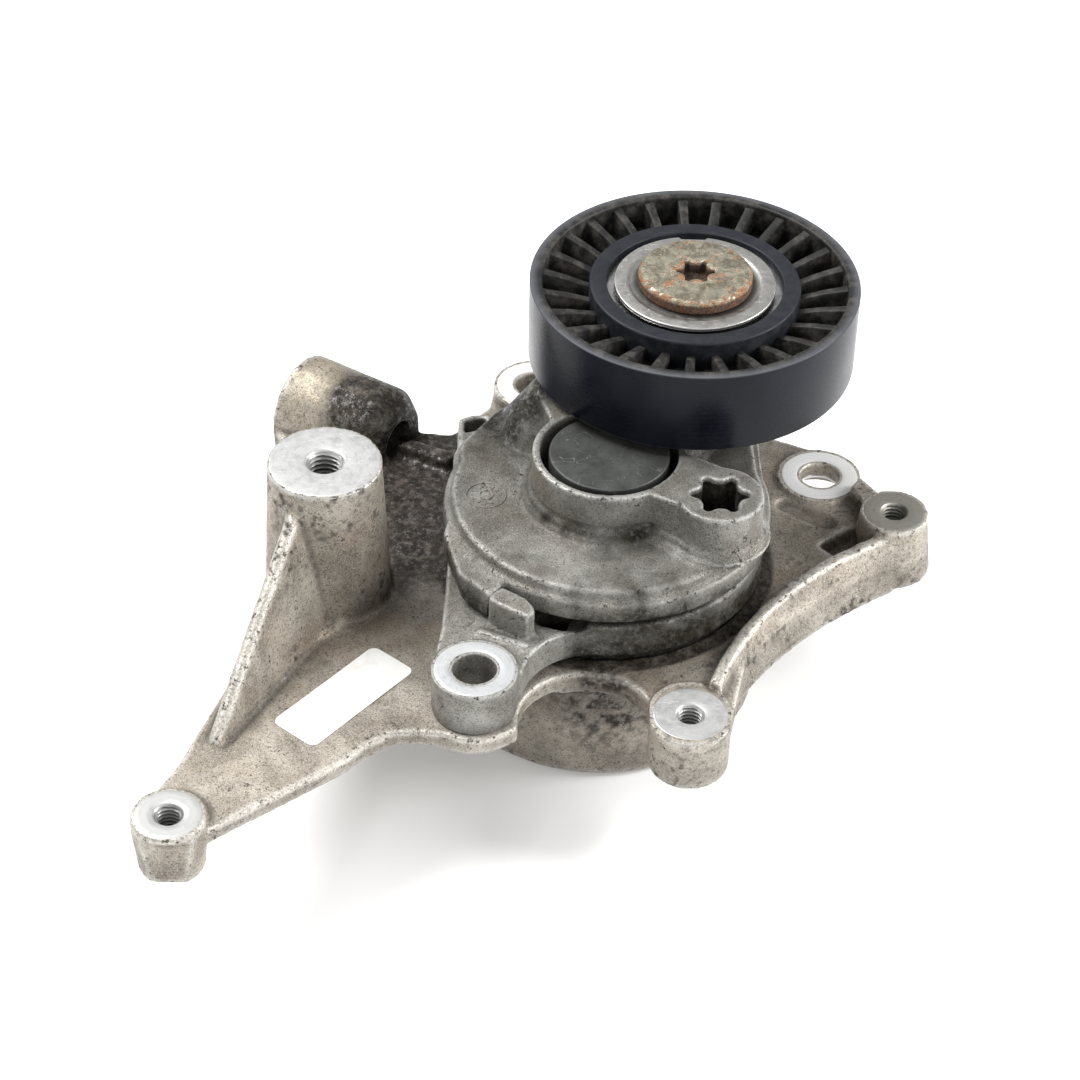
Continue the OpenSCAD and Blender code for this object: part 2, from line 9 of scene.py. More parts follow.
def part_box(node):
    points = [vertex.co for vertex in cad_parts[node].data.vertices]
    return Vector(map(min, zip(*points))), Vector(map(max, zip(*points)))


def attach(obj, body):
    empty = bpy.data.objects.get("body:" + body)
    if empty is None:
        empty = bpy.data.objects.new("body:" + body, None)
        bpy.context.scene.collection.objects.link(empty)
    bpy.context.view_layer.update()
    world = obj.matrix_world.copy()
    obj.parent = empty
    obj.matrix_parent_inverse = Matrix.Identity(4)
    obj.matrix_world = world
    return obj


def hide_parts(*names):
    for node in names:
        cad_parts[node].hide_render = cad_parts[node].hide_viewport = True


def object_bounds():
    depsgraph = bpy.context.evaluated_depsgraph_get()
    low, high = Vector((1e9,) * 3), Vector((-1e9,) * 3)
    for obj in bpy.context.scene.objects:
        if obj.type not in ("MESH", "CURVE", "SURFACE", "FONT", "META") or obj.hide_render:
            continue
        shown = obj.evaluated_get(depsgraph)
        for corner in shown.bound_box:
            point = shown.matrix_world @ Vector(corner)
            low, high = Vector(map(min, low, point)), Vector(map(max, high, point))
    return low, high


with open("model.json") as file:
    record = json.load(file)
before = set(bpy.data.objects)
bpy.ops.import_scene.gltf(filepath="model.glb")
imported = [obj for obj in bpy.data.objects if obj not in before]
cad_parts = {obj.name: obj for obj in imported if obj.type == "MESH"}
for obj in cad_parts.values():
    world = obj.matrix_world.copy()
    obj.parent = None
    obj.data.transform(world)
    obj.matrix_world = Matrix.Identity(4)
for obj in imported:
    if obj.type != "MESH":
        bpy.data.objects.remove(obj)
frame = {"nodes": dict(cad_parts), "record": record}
CAD_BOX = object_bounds()

MM = 0.001
TAU = 2 * math.pi
scene = bpy.context.scene
record = frame["record"]
mounts = {m["name"]: m for m in record["mounts"]}


def box_mm(node):
    lo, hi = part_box(node)
    return np.array(lo) / MM, np.array(hi) / MM


def mount_mm(name):
    """Position of a mount in mm, its axis, radius and length."""
    m = mounts[name]
    dims = m["dims"]
    return np.array(m["pos_m"]) / MM, Vector(m["axis"]), dims.get("r_mm"), dims.get("length_mm")


# ---------------------------------------------------------------- materials
class Shader:
    """Small helper for building procedural node materials. Coordinates are millimetres."""

    def __init__(self, name):
        self.material = bpy.data.materials.new(name)
        self.material.use_nodes = True
        self.tree = self.material.node_tree
        self.tree.nodes.clear()
        self.out = self.tree.nodes.new("ShaderNodeOutputMaterial")
        self.bsdf = self.tree.nodes.new("ShaderNodeBsdfPrincipled")
        self.tree.links.new(self.bsdf.outputs[0], self.out.inputs[0])
        coords = self.tree.nodes.new("ShaderNodeTexCoord").outputs["Object"]
        self.coords = self.stretch(coords, (1 / MM,) * 3)

    def put(self, socket, value):
        if hasattr(value, "is_output"):
            self.tree.links.new(value, socket)
        elif isinstance(value, (tuple, list)) and len(value) == 3 and socket.type == "RGBA":
            socket.default_value = (*value, 1)
        else:
            socket.default_value = value

    def stretch(self, coords, scale):
        node = self.tree.nodes.new("ShaderNodeMapping")
        self.put(node.inputs["Vector"], coords)
        node.inputs["Scale"].default_value = scale
        return node.outputs[0]

    def noise(self, scale, detail=4, rough=0.55, coords=None, distortion=0, seed=0):
        node = self.tree.nodes.new("ShaderNodeTexNoise")
        node.noise_dimensions = "4D"
        self.put(node.inputs["Vector"], coords or self.coords)
        node.inputs["Scale"].default_value = scale
        node.inputs["Detail"].default_value = detail
        node.inputs["Roughness"].default_value = rough
        node.inputs["Distortion"].default_value = distortion
        node.inputs["W"].default_value = seed
        return node.outputs[0]

    def attr(self, name):
        node = self.tree.nodes.new("ShaderNodeAttribute")
        node.attribute_name = name
        return node.outputs["Fac"]

    def rise(self, value, lo, hi, out_lo=0.0, out_hi=1.0):
        """Smooth step from out_lo at lo to out_hi at hi."""
        node = self.tree.nodes.new("ShaderNodeMapRange")
        node.interpolation_type = "SMOOTHSTEP"
        for socket, v in zip(node.inputs, (value, lo, hi, out_lo, out_hi)):
            self.put(socket, v)
        return node.outputs[0]

    def calc(self, op, a, b=0.0, clamp=False):
        node = self.tree.nodes.new("ShaderNodeMath")
        node.operation = op
        node.use_clamp = clamp
        self.put(node.inputs[0], a)
        self.put(node.inputs[1], b)
        return node.outputs[0]

    def mix(self, fac, a, b, blend="MIX"):
        node = self.tree.nodes.new("ShaderNodeMix")
        node.data_type = "RGBA"
        node.blend_type = blend
        self.put(node.inputs[0], fac)
        self.put(node.inputs[6], a)
        self.put(node.inputs[7], b)
        return node.outputs[2]

    def separate(self, coords):
        node = self.tree.nodes.new("ShaderNodeSeparateXYZ")
        self.put(node.inputs[0], coords)
        return node.outputs

    def combine(self, x, y, z):
        node = self.tree.nodes.new("ShaderNodeCombineXYZ")
        for socket, v in zip(node.inputs, (x, y, z)):
            self.put(socket, v)
        return node.outputs[0]

    def bump(self, height, depth_mm, normal=None):
        node = self.tree.nodes.new("ShaderNodeBump")
        node.inputs["Strength"].default_value = 1
        node.inputs["Distance"].default_value = depth_mm * MM
        self.put(node.inputs["Height"], height)
        if normal is not None:
            self.put(node.inputs["Normal"], normal)
        return node.outputs[0]

    def finish(self, color, rough, metal=0.0, normal=None, **extra):
        self.put(self.bsdf.inputs["Base Color"], color)
        self.put(self.bsdf.inputs["Roughness"], rough)
        self.put(self.bsdf.inputs["Metallic"], metal)
        if normal is not None:
            self.put(self.bsdf.inputs["Normal"], normal)
        for key, value in extra.items():
            self.put(self.bsdf.inputs[key.replace("_", " ")], value)
        return self.material


def cast_metal(name, dark, light, pit, bright, grain=1.0, warm=None, metal=0.6, depth=0.26):
    """As-cast alloy: blotchy skin, sandy grain, dark pits, rubbed bright edges with a painted highlight, a
    painted sheen, and oily soiling with painted shade.
    """
    s = Shader(name)
    blotch = s.noise(0.075, 5, 0.6, distortion=0.6)
    patch = s.noise(0.33, 4, 0.6, seed=3)
    sand = s.noise(2.1 * grain, 4, 0.66, seed=7)
    fine = s.noise(4.6 * grain, 3, 0.7, seed=11)
    color = s.mix(s.rise(blotch, 0.36, 0.66), dark, light)
    color = s.mix(s.rise(patch, 0.5, 0.74, 0, 0.45), color, tuple(c * 0.55 for c in dark))
    if warm:
        tint = s.rise(s.noise(0.05, 4, 0.6, seed=21), 0.48, 0.66, 0, 0.6)
        color = s.mix(tint, color, warm)
        # painted sheen: warm highlight colour where the stored sheen mask is high
        sheen = s.calc("MULTIPLY", s.attr("gold"), s.rise(patch, 0.3, 0.6, 1.0, 0.45))
        color = s.mix(sheen, color, (0.62, 0.52, 0.36))
    color = s.mix(s.rise(sand, 0.50, 0.36, 0, 0.78), color, tuple(c * 0.34 for c in dark))
    color = s.mix(s.rise(fine, 0.53, 0.66, 0, 0.62), color, tuple(min(1, c * 1.7) for c in light))
    glint = s.rise(s.noise(3.4 * grain, 2, 0.6, seed=15), 0.62, 0.70)
    color = s.mix(s.calc("MULTIPLY", glint, 0.7), color, bright)
    cluster = s.rise(s.noise(0.11, 3, 0.6, seed=19), 0.47, 0.62, 0.04, 1.0)
    speck = s.calc("MULTIPLY", s.rise(s.noise(1.9 * grain, 3, 0.6, seed=5), 0.61, 0.67),
                   s.calc("MAXIMUM", cluster, 0.3))
    pits = s.calc("MULTIPLY", s.rise(s.noise(0.85, 3, 0.65, seed=17), 0.60, 0.66), cluster)
    edge = s.attr("edge")
    chips = s.calc("MULTIPLY", s.rise(edge, 0.04, 0.25), s.rise(s.noise(0.75, 4, 0.7, seed=29), 0.57, 0.63))
    marks = s.calc("MAXIMUM", s.calc("MULTIPLY", pits, 0.85), s.calc("MULTIPLY", speck, 0.7))
    marks = s.calc("MAXIMUM", marks, s.calc("MULTIPLY", chips, 0.85))
    color = s.mix(marks, color, pit)
    # rubbed edges: lighter on convex edges, part wear and part painted highlight
    wear_and_highlight = s.rise(s.noise(2.6, 4, 0.7, seed=9), 0.36, 0.6, 0.1, 1.0)
    wear_and_highlight = s.calc("MULTIPLY", s.rise(edge, 0.07, 0.4), wear_and_highlight)
    wear_and_highlight = s.calc("MULTIPLY", wear_and_highlight, s.calc("SUBTRACT", 1.0, s.calc("MULTIPLY", chips, 0.9)))
    color = s.mix(s.calc("MULTIPLY", wear_and_highlight, 0.62), color, bright)
    # painted shade: darker in hollows and inside corners, joined with the stored mask of soiling and painted
    # shade
    hollow = s.rise(edge, -0.04, -0.4)
    soil_shade_mask = s.calc("MAXIMUM", s.calc("MULTIPLY", hollow, 0.6), s.attr("grime"))
    soil_shade_mask = s.calc("MULTIPLY", soil_shade_mask, s.rise(s.noise(0.3, 6, 0.72, seed=13), 0.3, 0.55, 0.78, 1.05), clamp=True)
    mud = s.rise(s.noise(0.6, 5, 0.7, seed=27), 0.42, 0.62)
    mud = s.mix(mud, tuple(c * 0.6 for c in pit), tuple(c * 1.5 for c in pit))
    color = s.mix(soil_shade_mask, color, mud)
    rough = s.rise(patch, 0.35, 0.7, 0.44, 0.6)
    rough = s.calc("ADD", rough, s.calc("MULTIPLY", marks, 0.2))
    rough = s.calc("SUBTRACT", rough, s.calc("MULTIPLY", s.calc("MAXIMUM", wear_and_highlight, glint), 0.14))
    wet = s.calc("MULTIPLY", soil_shade_mask, s.rise(s.noise(0.9, 4, 0.7, seed=25), 0.5, 0.62))
    rough = s.calc("SUBTRACT", rough, s.calc("MULTIPLY", wet, 0.2), clamp=True)
    height = s.calc("ADD", s.calc("MULTIPLY", sand, 0.6), s.calc("MULTIPLY", fine, 0.22))
    height = s.calc("SUBTRACT", height, s.calc("MULTIPLY", marks, 0.3))
    metallic = s.calc("SUBTRACT", metal, s.calc("MULTIPLY", soil_shade_mask, 0.6), clamp=True)
    gloss = s.calc("ADD", s.rise(soil_shade_mask, 0.0, 1.0, 0.5, 0.12), s.calc("MULTIPLY", wet, 0.9))
    return s.finish(color, rough, metallic, s.bump(height, depth / grain), Specular_IOR_Level=gloss)


def turned_metal(name, base, stain, stain_amount=0.35, rough=0.3, lines=2.6, metal=1.0):
    """Machined metal: concentric tool marks round the stored radius, fine scratches and a few stains."""
    s = Shader(name)
    radius = s.attr("rad")
    ring = s.noise(lines, 3, 0.6, coords=s.combine(radius, 0.0, 0.0))
    scratch = s.noise(1.0, 3, 0.7, coords=s.stretch(s.coords, (0.35, 6.0, 3.0)), seed=4)
    scratch2 = s.noise(1.0, 3, 0.7, coords=s.stretch(s.coords, (5.0, 0.4, 3.0)), seed=6)
    blotch = s.noise(0.45, 5, 0.65, seed=2)
    color = s.mix(s.rise(ring, 0.35, 0.65, 0, 0.45), base, tuple(c * 0.78 for c in base))
    color = s.mix(s.rise(blotch, 0.52, 0.7, 0, stain_amount), color, stain)
    speck = s.rise(s.noise(2.2, 3, 0.6, seed=8), 0.66, 0.72, 0, 0.6)
    color = s.mix(speck, color, stain)
    # darker where the stored mask is high: painted shade in bores and round the bolt head's foot
    color = s.mix(s.attr("grime"), color, tuple(c * 0.12 for c in stain))
    roughness = s.calc("ADD", s.rise(blotch, 0.3, 0.7, rough, rough + 0.2),
                       s.rise(scratch, 0.55, 0.7, 0, 0.12))
    height = s.calc("ADD", s.calc("MULTIPLY", ring, 0.6),
                    s.calc("ADD", s.rise(scratch, 0.6, 0.68, 0, 0.3), s.rise(scratch2, 0.62, 0.7, 0, 0.3)))
    return s.finish(color, roughness, metal, s.bump(height, 0.05))


def rusty_bolt(name, head_top, head_r):
    """Zinc plating gone olive grey, with brown rust in patches, round the recess and on the head's side, and
    painted shade inside the recess.
    """
    s = Shader(name)
    radius = s.attr("rad")
    z = s.separate(s.coords)[2]
    blotch = s.noise(0.34, 6, 0.7, distortion=0.8)
    grit = s.noise(2.4, 5, 0.72, seed=3)
    color = s.mix(s.rise(blotch, 0.38, 0.62), (0.235, 0.21, 0.155), (0.41, 0.38, 0.30))
    color = s.mix(s.rise(grit, 0.48, 0.7, 0, 0.6), color, (0.10, 0.085, 0.06))
    near_edge = s.rise(radius, head_r - 2.0, head_r - 0.4, 0, 0.10)
    near_hole = s.rise(radius, 6.2, 4.4, 0, 0.10)
    field = s.calc("ADD", s.noise(0.3, 7, 0.72, seed=15, distortion=1.2), s.calc("ADD", near_edge, near_hole))
    rust = s.rise(field, 0.555, 0.64)
    tone = s.mix(s.rise(grit, 0.4, 0.62), (0.10, 0.035, 0.012), (0.42, 0.17, 0.055))
    color = s.mix(s.calc("MULTIPLY", rust, 0.85), color, tone)
    light = s.rise(s.noise(0.8, 4, 0.6, seed=23), 0.55, 0.7, 0, 0.5)
    color = s.mix(light, color, (0.50, 0.475, 0.41))
    below = s.rise(z, head_top - 0.7, head_top - 1.3)
    side = s.calc("MULTIPLY", below, s.rise(radius, head_r - 0.4, head_r - 0.1))
    brown = s.mix(s.rise(grit, 0.42, 0.6), (0.03, 0.014, 0.008), (0.13, 0.058, 0.03))
    color = s.mix(s.calc("MULTIPLY", side, 0.92), color, brown)
    # the recess's walls and floor near black brown: rust with painted shade
    floor = s.calc("MULTIPLY", s.rise(z, head_top - 0.25, head_top - 1.1), s.rise(radius, 4.9, 4.5))
    recess_rust_and_shade = s.mix(s.rise(grit, 0.46, 0.62), (0.012, 0.007, 0.005), (0.09, 0.032, 0.014))
    color = s.mix(s.calc("MULTIPLY", floor, 0.94), color, recess_rust_and_shade)
    worn = s.calc("MAXIMUM", s.calc("MULTIPLY", rust, 0.8), s.calc("MAXIMUM", side, floor))
    rough = s.calc("ADD", s.rise(blotch, 0.35, 0.65, 0.34, 0.5), s.calc("MULTIPLY", worn, 0.34), clamp=True)
    metallic = s.calc("SUBTRACT", 0.85, s.calc("MULTIPLY", worn, 0.8), clamp=True)
    ring = s.noise(1.6, 3, 0.6, coords=s.combine(radius, 0.0, 0.0))
    height = s.calc("ADD", s.calc("MULTIPLY", grit, 0.5),
                    s.calc("ADD", s.calc("MULTIPLY", rust, 0.35), s.calc("MULTIPLY", ring, 0.25)))
    return s.finish(color, rough, metallic, s.bump(height, 0.16))


def pulley_plastic(name, belt_r, hub_r):
    """Black moulded plastic: dusty between the fins, belt-polished navy sheen on the running face."""
    s = Shader(name)
    radius = s.attr("rad")
    belt = s.rise(radius, belt_r - 0.25, belt_r - 0.05)
    z = s.separate(s.coords)[2]
    streak = s.noise(1.0, 3, 0.6, coords=s.combine(0.0, 0.0, s.calc("MULTIPLY", z, 1.6)))
    cloud = s.noise(0.05, 5, 0.6, distortion=0.5)
    dust = s.noise(0.35, 5, 0.7, seed=5)
    grain = s.noise(3.0, 4, 0.6, seed=9)
    inner = s.mix(s.rise(dust, 0.42, 0.68), (0.009, 0.009, 0.009), (0.055, 0.051, 0.045))
    hub = s.rise(radius, hub_r + 0.3, hub_r - 0.1)
    inner = s.mix(s.calc("MULTIPLY", hub, 0.85), inner, (0.007, 0.009, 0.015))
    face = s.mix(s.rise(cloud, 0.35, 0.65), (0.0025, 0.003, 0.006), (0.0055, 0.007, 0.0125))
    face = s.mix(s.rise(streak, 0.5, 0.7, 0, 0.12), face, (0.02, 0.024, 0.036))
    color = s.mix(belt, inner, face)
    # lighter along the rim's lips and at nicks: wear, with a painted highlight along the lips
    nick = s.rise(s.noise(1.1, 4, 0.75, seed=31), 0.69, 0.71)
    wear_and_highlight = s.calc("MAXIMUM", s.calc("MULTIPLY", s.attr("edge"), 0.6), s.calc("MULTIPLY", nick, 0.4))
    color = s.mix(wear_and_highlight, color, (0.11, 0.115, 0.13))
    matt = s.rise(dust, 0.35, 0.7, 0.48, 0.66)
    polished = s.calc("ADD", s.rise(cloud, 0.3, 0.7, 0.22, 0.32), s.rise(streak, 0.45, 0.65, 0, 0.04))
    rough = s.calc("MULTIPLY", matt, s.calc("SUBTRACT", 1.0, belt))
    rough = s.calc("ADD", rough, s.calc("MULTIPLY", polished, belt))
    gloss = s.rise(belt, 0.0, 1.0, 0.32, 0.17)
    height = s.calc("SUBTRACT", s.calc("MULTIPLY", grain, 0.4), s.calc("MULTIPLY", nick, 0.6))
    return s.finish(color, rough, 0.0, s.bump(height, 0.035), Specular_IOR_Level=gloss)


def scuffed_plastic(name, base, wear, rough=0.5):
    """Matt plastic or painted steel with cross scratches and grey scuffs."""
    s = Shader(name)
    cloud = s.noise(0.14, 5, 0.65)
    grit = s.noise(1.6, 4, 0.7, seed=3)
    hair = s.noise(1.0, 5, 0.8, coords=s.stretch(s.coords, (0.22, 2.6, 1.0)), seed=5, distortion=0.6)
    hair2 = s.noise(1.0, 5, 0.8, coords=s.stretch(s.coords, (1.9, 0.3, 1.0)), seed=8, distortion=0.9)
    curl = s.calc("ABSOLUTE", s.calc("SUBTRACT", s.noise(0.17, 2, 0.5, seed=12, distortion=0.7), 0.5))
    curl = s.calc("MULTIPLY", s.rise(curl, 0.006, 0.002), s.rise(s.noise(0.2, 2, 0.5, seed=14), 0.5, 0.56))
    marks = s.calc("MAXIMUM", s.rise(hair, 0.655, 0.675), s.rise(hair2, 0.665, 0.685))
    marks = s.calc("MAXIMUM", marks, curl)
    color = s.mix(s.rise(cloud, 0.35, 0.68, 0, 0.8), base, tuple(c * 1.7 for c in base))
    color = s.mix(s.rise(grit, 0.5, 0.72, 0, 0.6), color, tuple(c * 0.45 for c in base))
    color = s.mix(s.calc("MULTIPLY", marks, 0.7), color, wear)
    roughness = s.calc("ADD", s.rise(cloud, 0.3, 0.7, rough - 0.08, rough + 0.1),
                       s.calc("MULTIPLY", marks, -0.1))
    height = s.calc("SUBTRACT", s.calc("MULTIPLY", grit, 0.5), s.calc("MULTIPLY", marks, 0.5))
    return s.finish(color, roughness, 0.25, s.bump(height, 0.07))


def paper(name):
    """Blank white film label, slightly soiled towards one end."""
    s = Shader(name)
    soil = s.noise(0.16, 5, 0.65)
    fibre = s.noise(2.5, 4, 0.6, seed=2)
    color = s.mix(s.rise(soil, 0.45, 0.75, 0, 0.55), (0.80, 0.795, 0.775), (0.58, 0.55, 0.50))
    color = s.mix(s.rise(fibre, 0.5, 0.7, 0, 0.18), color, (0.72, 0.7, 0.68))
    color = s.mix(s.rise(s.noise(1.1, 4, 0.7, seed=6), 0.69, 0.73, 0, 0.75), color, (0.3, 0.27, 0.24))
    return s.finish(color, s.rise(soil, 0.3, 0.7, 0.34, 0.55), 0.0, s.bump(fibre, 0.03))


def plain(name, base, rough=0.5, metal=0.0, grain=1.2, depth=0.04):
    """Inner parts: a base colour with blotches, wear, uneven gloss and a fine surface."""
    s = Shader(name)
    blotch = s.noise(0.3, 5, 0.6)
    grit = s.noise(grain, 4, 0.65, seed=2)
    color = s.mix(s.rise(blotch, 0.35, 0.68), base, tuple(c * 0.6 for c in base))
    color = s.mix(s.rise(grit, 0.52, 0.72, 0, 0.4), color, tuple(min(1, c * 1.5 + 0.02) for c in base))
    roughness = s.rise(blotch, 0.3, 0.7, rough, min(1.0, rough + 0.18))
    return s.finish(color, roughness, metal, s.bump(grit, depth))


# ---------------------------------------------------------------- geometry
def make_object(name, mesh, body, material, smooth_deg=35):
    mesh.update()
    obj = bpy.data.objects.new(name, mesh)
    scene.collection.objects.link(obj)
    mesh.materials.clear()
    mesh.materials.append(material)
    mesh.shade_smooth()
    if smooth_deg:
        mesh.set_sharp_from_angle(angle=math.radians(smooth_deg))
    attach(obj, body)
    return obj


def store(mesh, name, values):
    attribute = mesh.attributes.new(name, "FLOAT", "POINT")
    attribute.data.foreach_set("value", np.asarray(values, np.float32))


def stored(mesh, name):
    """Values of a stored attribute, one for each vertex."""
    values = np.zeros(len(mesh.vertices), np.float32)
    mesh.attributes[name].data.foreach_get("value", values)
    return values


def places_mm(mesh):
    """Vertex positions in mm."""
    co = np.zeros(len(mesh.vertices) * 3)
    mesh.vertices.foreach_get("co", co)
    return co.reshape(-1, 3) / MM


def set_places(mesh, co):
    mesh.vertices.foreach_set("co", (co * MM).ravel())
    mesh.update()


def outward(verts, faces):
    """A closed part's faces, all turned over if they face inwards."""
    fans = np.array([(f[0], f[k], f[k + 1]) for f in faces for k in range(1, len(f) - 1)])
    a, b, c = (verts[fans[:, k]] for k in range(3))
    volume = (a * np.cross(b, c)).sum()
    return faces if volume > 0 else [f[::-1] for f in faces]


def mesh_from(name, parts, centre=(0, 0), rad=None):
    """One mesh from (vertices in mm, faces) parts. Stores each vertex's distance from the centre as 'rad'."""
    verts, faces, base = [], [], 0
    for v, f in parts:
        verts.append(np.asarray(v, float))
        faces += [tuple(i + base for i in face) for face in outward(verts[-1], f)]
        base += len(v)
    verts = np.vstack(verts)
    mesh = bpy.data.meshes.new(name)
    mesh.from_pydata((verts * MM).tolist(), [], faces)
    store(mesh, "rad", rad if rad is not None else np.hypot(verts[:, 0] - centre[0], verts[:, 1] - centre[1]))
    return mesh


def fillet(points, steps=4):
    """Rounds the corners of a closed (r, z, radius) outline."""
    out, count = [], len(points)
    for i, (r, z, size) in enumerate(points):
        here = np.array((r, z), float)
        before = np.array(points[i - 1][:2], float) - here
        after = np.array(points[(i + 1) % count][:2], float) - here
        reach = min(size, np.linalg.norm(before) * 0.45, np.linalg.norm(after) * 0.45)
        if reach < 0.02 or r <= 0:
            out.append(here)
            continue
        a = here + before / np.linalg.norm(before) * reach
        b = here + after / np.linalg.norm(after) * reach
        for k in range(steps + 1):
            t = k / steps
            out.append((1 - t) ** 2 * a + 2 * t * (1 - t) * here + t * t * b)
    return out


def lathe(outline, centre=(0, 0), segs=144, shape=None):
    """Closed (r, z) outline turned about a vertical axis. Points at r = 0 become poles.
    shape(r, z, theta) may change a row's radius."""
    theta = np.arange(segs) * TAU / segs
    verts, rows = [], []
    for k, (r, z) in enumerate(outline):
        if r <= 1e-9:
            rows.append([len(verts)])
            verts.append((centre[0], centre[1], z))
            continue
        radius = np.full(segs, r) if shape is None else shape(k, r, z, theta)
        rows.append(list(range(len(verts), len(verts) + segs)))
        verts += list(zip(centre[0] + radius * np.cos(theta), centre[1] + radius * np.sin(theta), [z] * segs))
    faces = []
    for k in range(len(rows)):
        a, b = rows[k], rows[(k + 1) % len(rows)]
        if len(a) == 1 and len(b) == 1:
            continue
        for i in range(segs):
            j = (i + 1) % segs
            if len(a) == 1:
                faces.append((a[0], b[j], b[i]))
            elif len(b) == 1:
                faces.append((a[i], a[j], b[0]))
            else:
                faces.append((a[i], a[j], b[j], b[i]))
    return verts, faces


def lobe_radius(theta, size):
    """Radius of a six-lobe recess of a given point-to-point size, in a given direction."""
    centre, flank = 0.58 * size, 0.22 * size
    off = theta % (math.pi / 3) - math.pi / 6
    side = centre * np.sin(off)
    inside = np.abs(side) < flank
    near = centre * np.cos(off) - np.sqrt(np.maximum(flank ** 2 - side ** 2, 0))
    return np.minimum(size / 2, np.where(inside, near, size))


def clean_copy(node, cutters=()):
    """The CAD node's mesh, joined up, with the cutters' volume removed."""
    mesh = frame["nodes"][node].data.copy()
    work = bmesh.new()
    work.from_mesh(mesh)
    bmesh.ops.remove_doubles(work, verts=work.verts, dist=1e-7)
    work.to_mesh(mesh)
    work.free()
    obj = bpy.data.objects.new("work", mesh)
    scene.collection.objects.link(obj)
    tools = []
    for v, f in cutters:
        tool_mesh = bpy.data.meshes.new("tool")
        tool_mesh.from_pydata((np.asarray(v) * MM).tolist(), [], f)
        tool = bpy.data.objects.new("tool", tool_mesh)
        scene.collection.objects.link(tool)
        tools.append(tool)
        cut = obj.modifiers.new("cut", "BOOLEAN")
        cut.operation, cut.solver, cut.object = "DIFFERENCE", "EXACT", tool
    return obj, tools


def edges_of(mesh):
    pairs = np.zeros(len(mesh.edges) * 2, np.int64)
    mesh.edges.foreach_get("vertices", pairs)
    return pairs.reshape(-1, 2)


def relax(co, pairs, weight, passes):
    """Moves each vertex part of the way to its neighbours' mean, so that corners become cast fillets."""
    i, j = pairs[:, 0], pairs[:, 1]
    n = len(co)
    degree = np.maximum(np.bincount(i, minlength=n) + np.bincount(j, minlength=n), 1)
    co = co.copy()
    for _ in range(passes):
        mean = np.stack([(np.bincount(i, co[j, k], n) + np.bincount(j, co[i, k], n)) / degree
                         for k in range(3)], 1)
        co += weight[:, None] * 0.6 * (mean - co)
    return co


def lattice(points, cell, seed):
    """Smooth random values, -1 to 1, on a cubic lattice of the given cell size in mm."""
    rng = np.random.default_rng(seed)
    size = 64
    table = rng.uniform(-1, 1, (size, size, size))
    p = points / cell
    base = np.floor(p).astype(int)
    t = p - base
    t = t * t * (3 - 2 * t)
    out = np.zeros(len(points))
    for dx in (0, 1):
        for dy in (0, 1):
            for dz in (0, 1):
                w = (t[:, 0] if dx else 1 - t[:, 0]) * (t[:, 1] if dy else 1 - t[:, 1])
                w = w * (t[:, 2] if dz else 1 - t[:, 2])
                out += w * table[(base[:, 0] + dx) % size, (base[:, 1] + dy) % size, (base[:, 2] + dz) % size]
    return out


EDGE_PASSES, EDGE_REACH = 14, 0.5
FACE_REACH, FACE_GAP = 0.45, 0.02


def cast_skin(node, voxel, passes, body, material, machined=(), cutters=(), relief=0.05,
              grime=None, gold=None):
    """A casting's visible skin: the CAD shape with filleted corners and a sandy surface.
    machined holds (x, y, radius, lowest z, highest z, face z) zones that stay flat and sharp."""
    obj, tools = clean_copy(node, cutters)
    remesh = obj.modifiers.new("remesh", "REMESH")
    remesh.mode, remesh.voxel_size, remesh.adaptivity = "VOXEL", voxel * MM, 0
    graph = bpy.context.evaluated_depsgraph_get()
    mesh = bpy.data.meshes.new_from_object(obj.evaluated_get(graph))
    for o in [obj] + tools:
        bpy.data.objects.remove(o)
    count = len(mesh.vertices)
    co = places_mm(mesh)
    pairs = edges_of(mesh)
    weight = np.ones(count)
    for x, y, radius, z0, z1, face in machined:
        near = (np.hypot(co[:, 0] - x, co[:, 1] - y) < radius) & (co[:, 2] > z0) & (co[:, 2] < z1)
        weight[near] = 0
    co = relax(co, pairs, weight, passes)
    set_places(mesh, co)
    normal = np.zeros(count * 3, np.float32)
    mesh.vertex_normals.foreach_get("vector", normal)
    normal = normal.reshape(-1, 3)
    soft = relax(co, pairs, np.ones(count), EDGE_PASSES)
    edge = ((co - soft) * normal).sum(1) / EDGE_REACH
    wave = 0.5 * lattice(co, 4.3, 1) + 0.3 * lattice(co, 1.7, 2) + 0.2 * lattice(co, 0.9, 3)
    co = co + normal * (wave * relief * weight)[:, None]
    for x, y, radius, z0, z1, face in machined:
        flat = (np.hypot(co[:, 0] - x, co[:, 1] - y) < radius) & (np.abs(co[:, 2] - face) < FACE_REACH)
        co[flat, 2] = face - FACE_GAP
    set_places(mesh, co)
    store(mesh, "edge", edge)
    store(mesh, "grime", np.zeros(count) if grime is None else grime(co))
    store(mesh, "gold", np.zeros(count) if gold is None else gold(co))
    skin = make_object(node + "_skin", mesh, body, material, smooth_deg=0)
    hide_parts(node)


def tube_cutter(x, y, r, z0, z1, segs=64):
    outline = [(0, z0), (r, z0), (r, z1), (0, z1)]
    return lathe(outline, (x, y), segs)


M8_PITCH, M6_PITCH = 1.25, 1.0
THREAD_DEPTH = 0.613
SLEEVE = 0.7


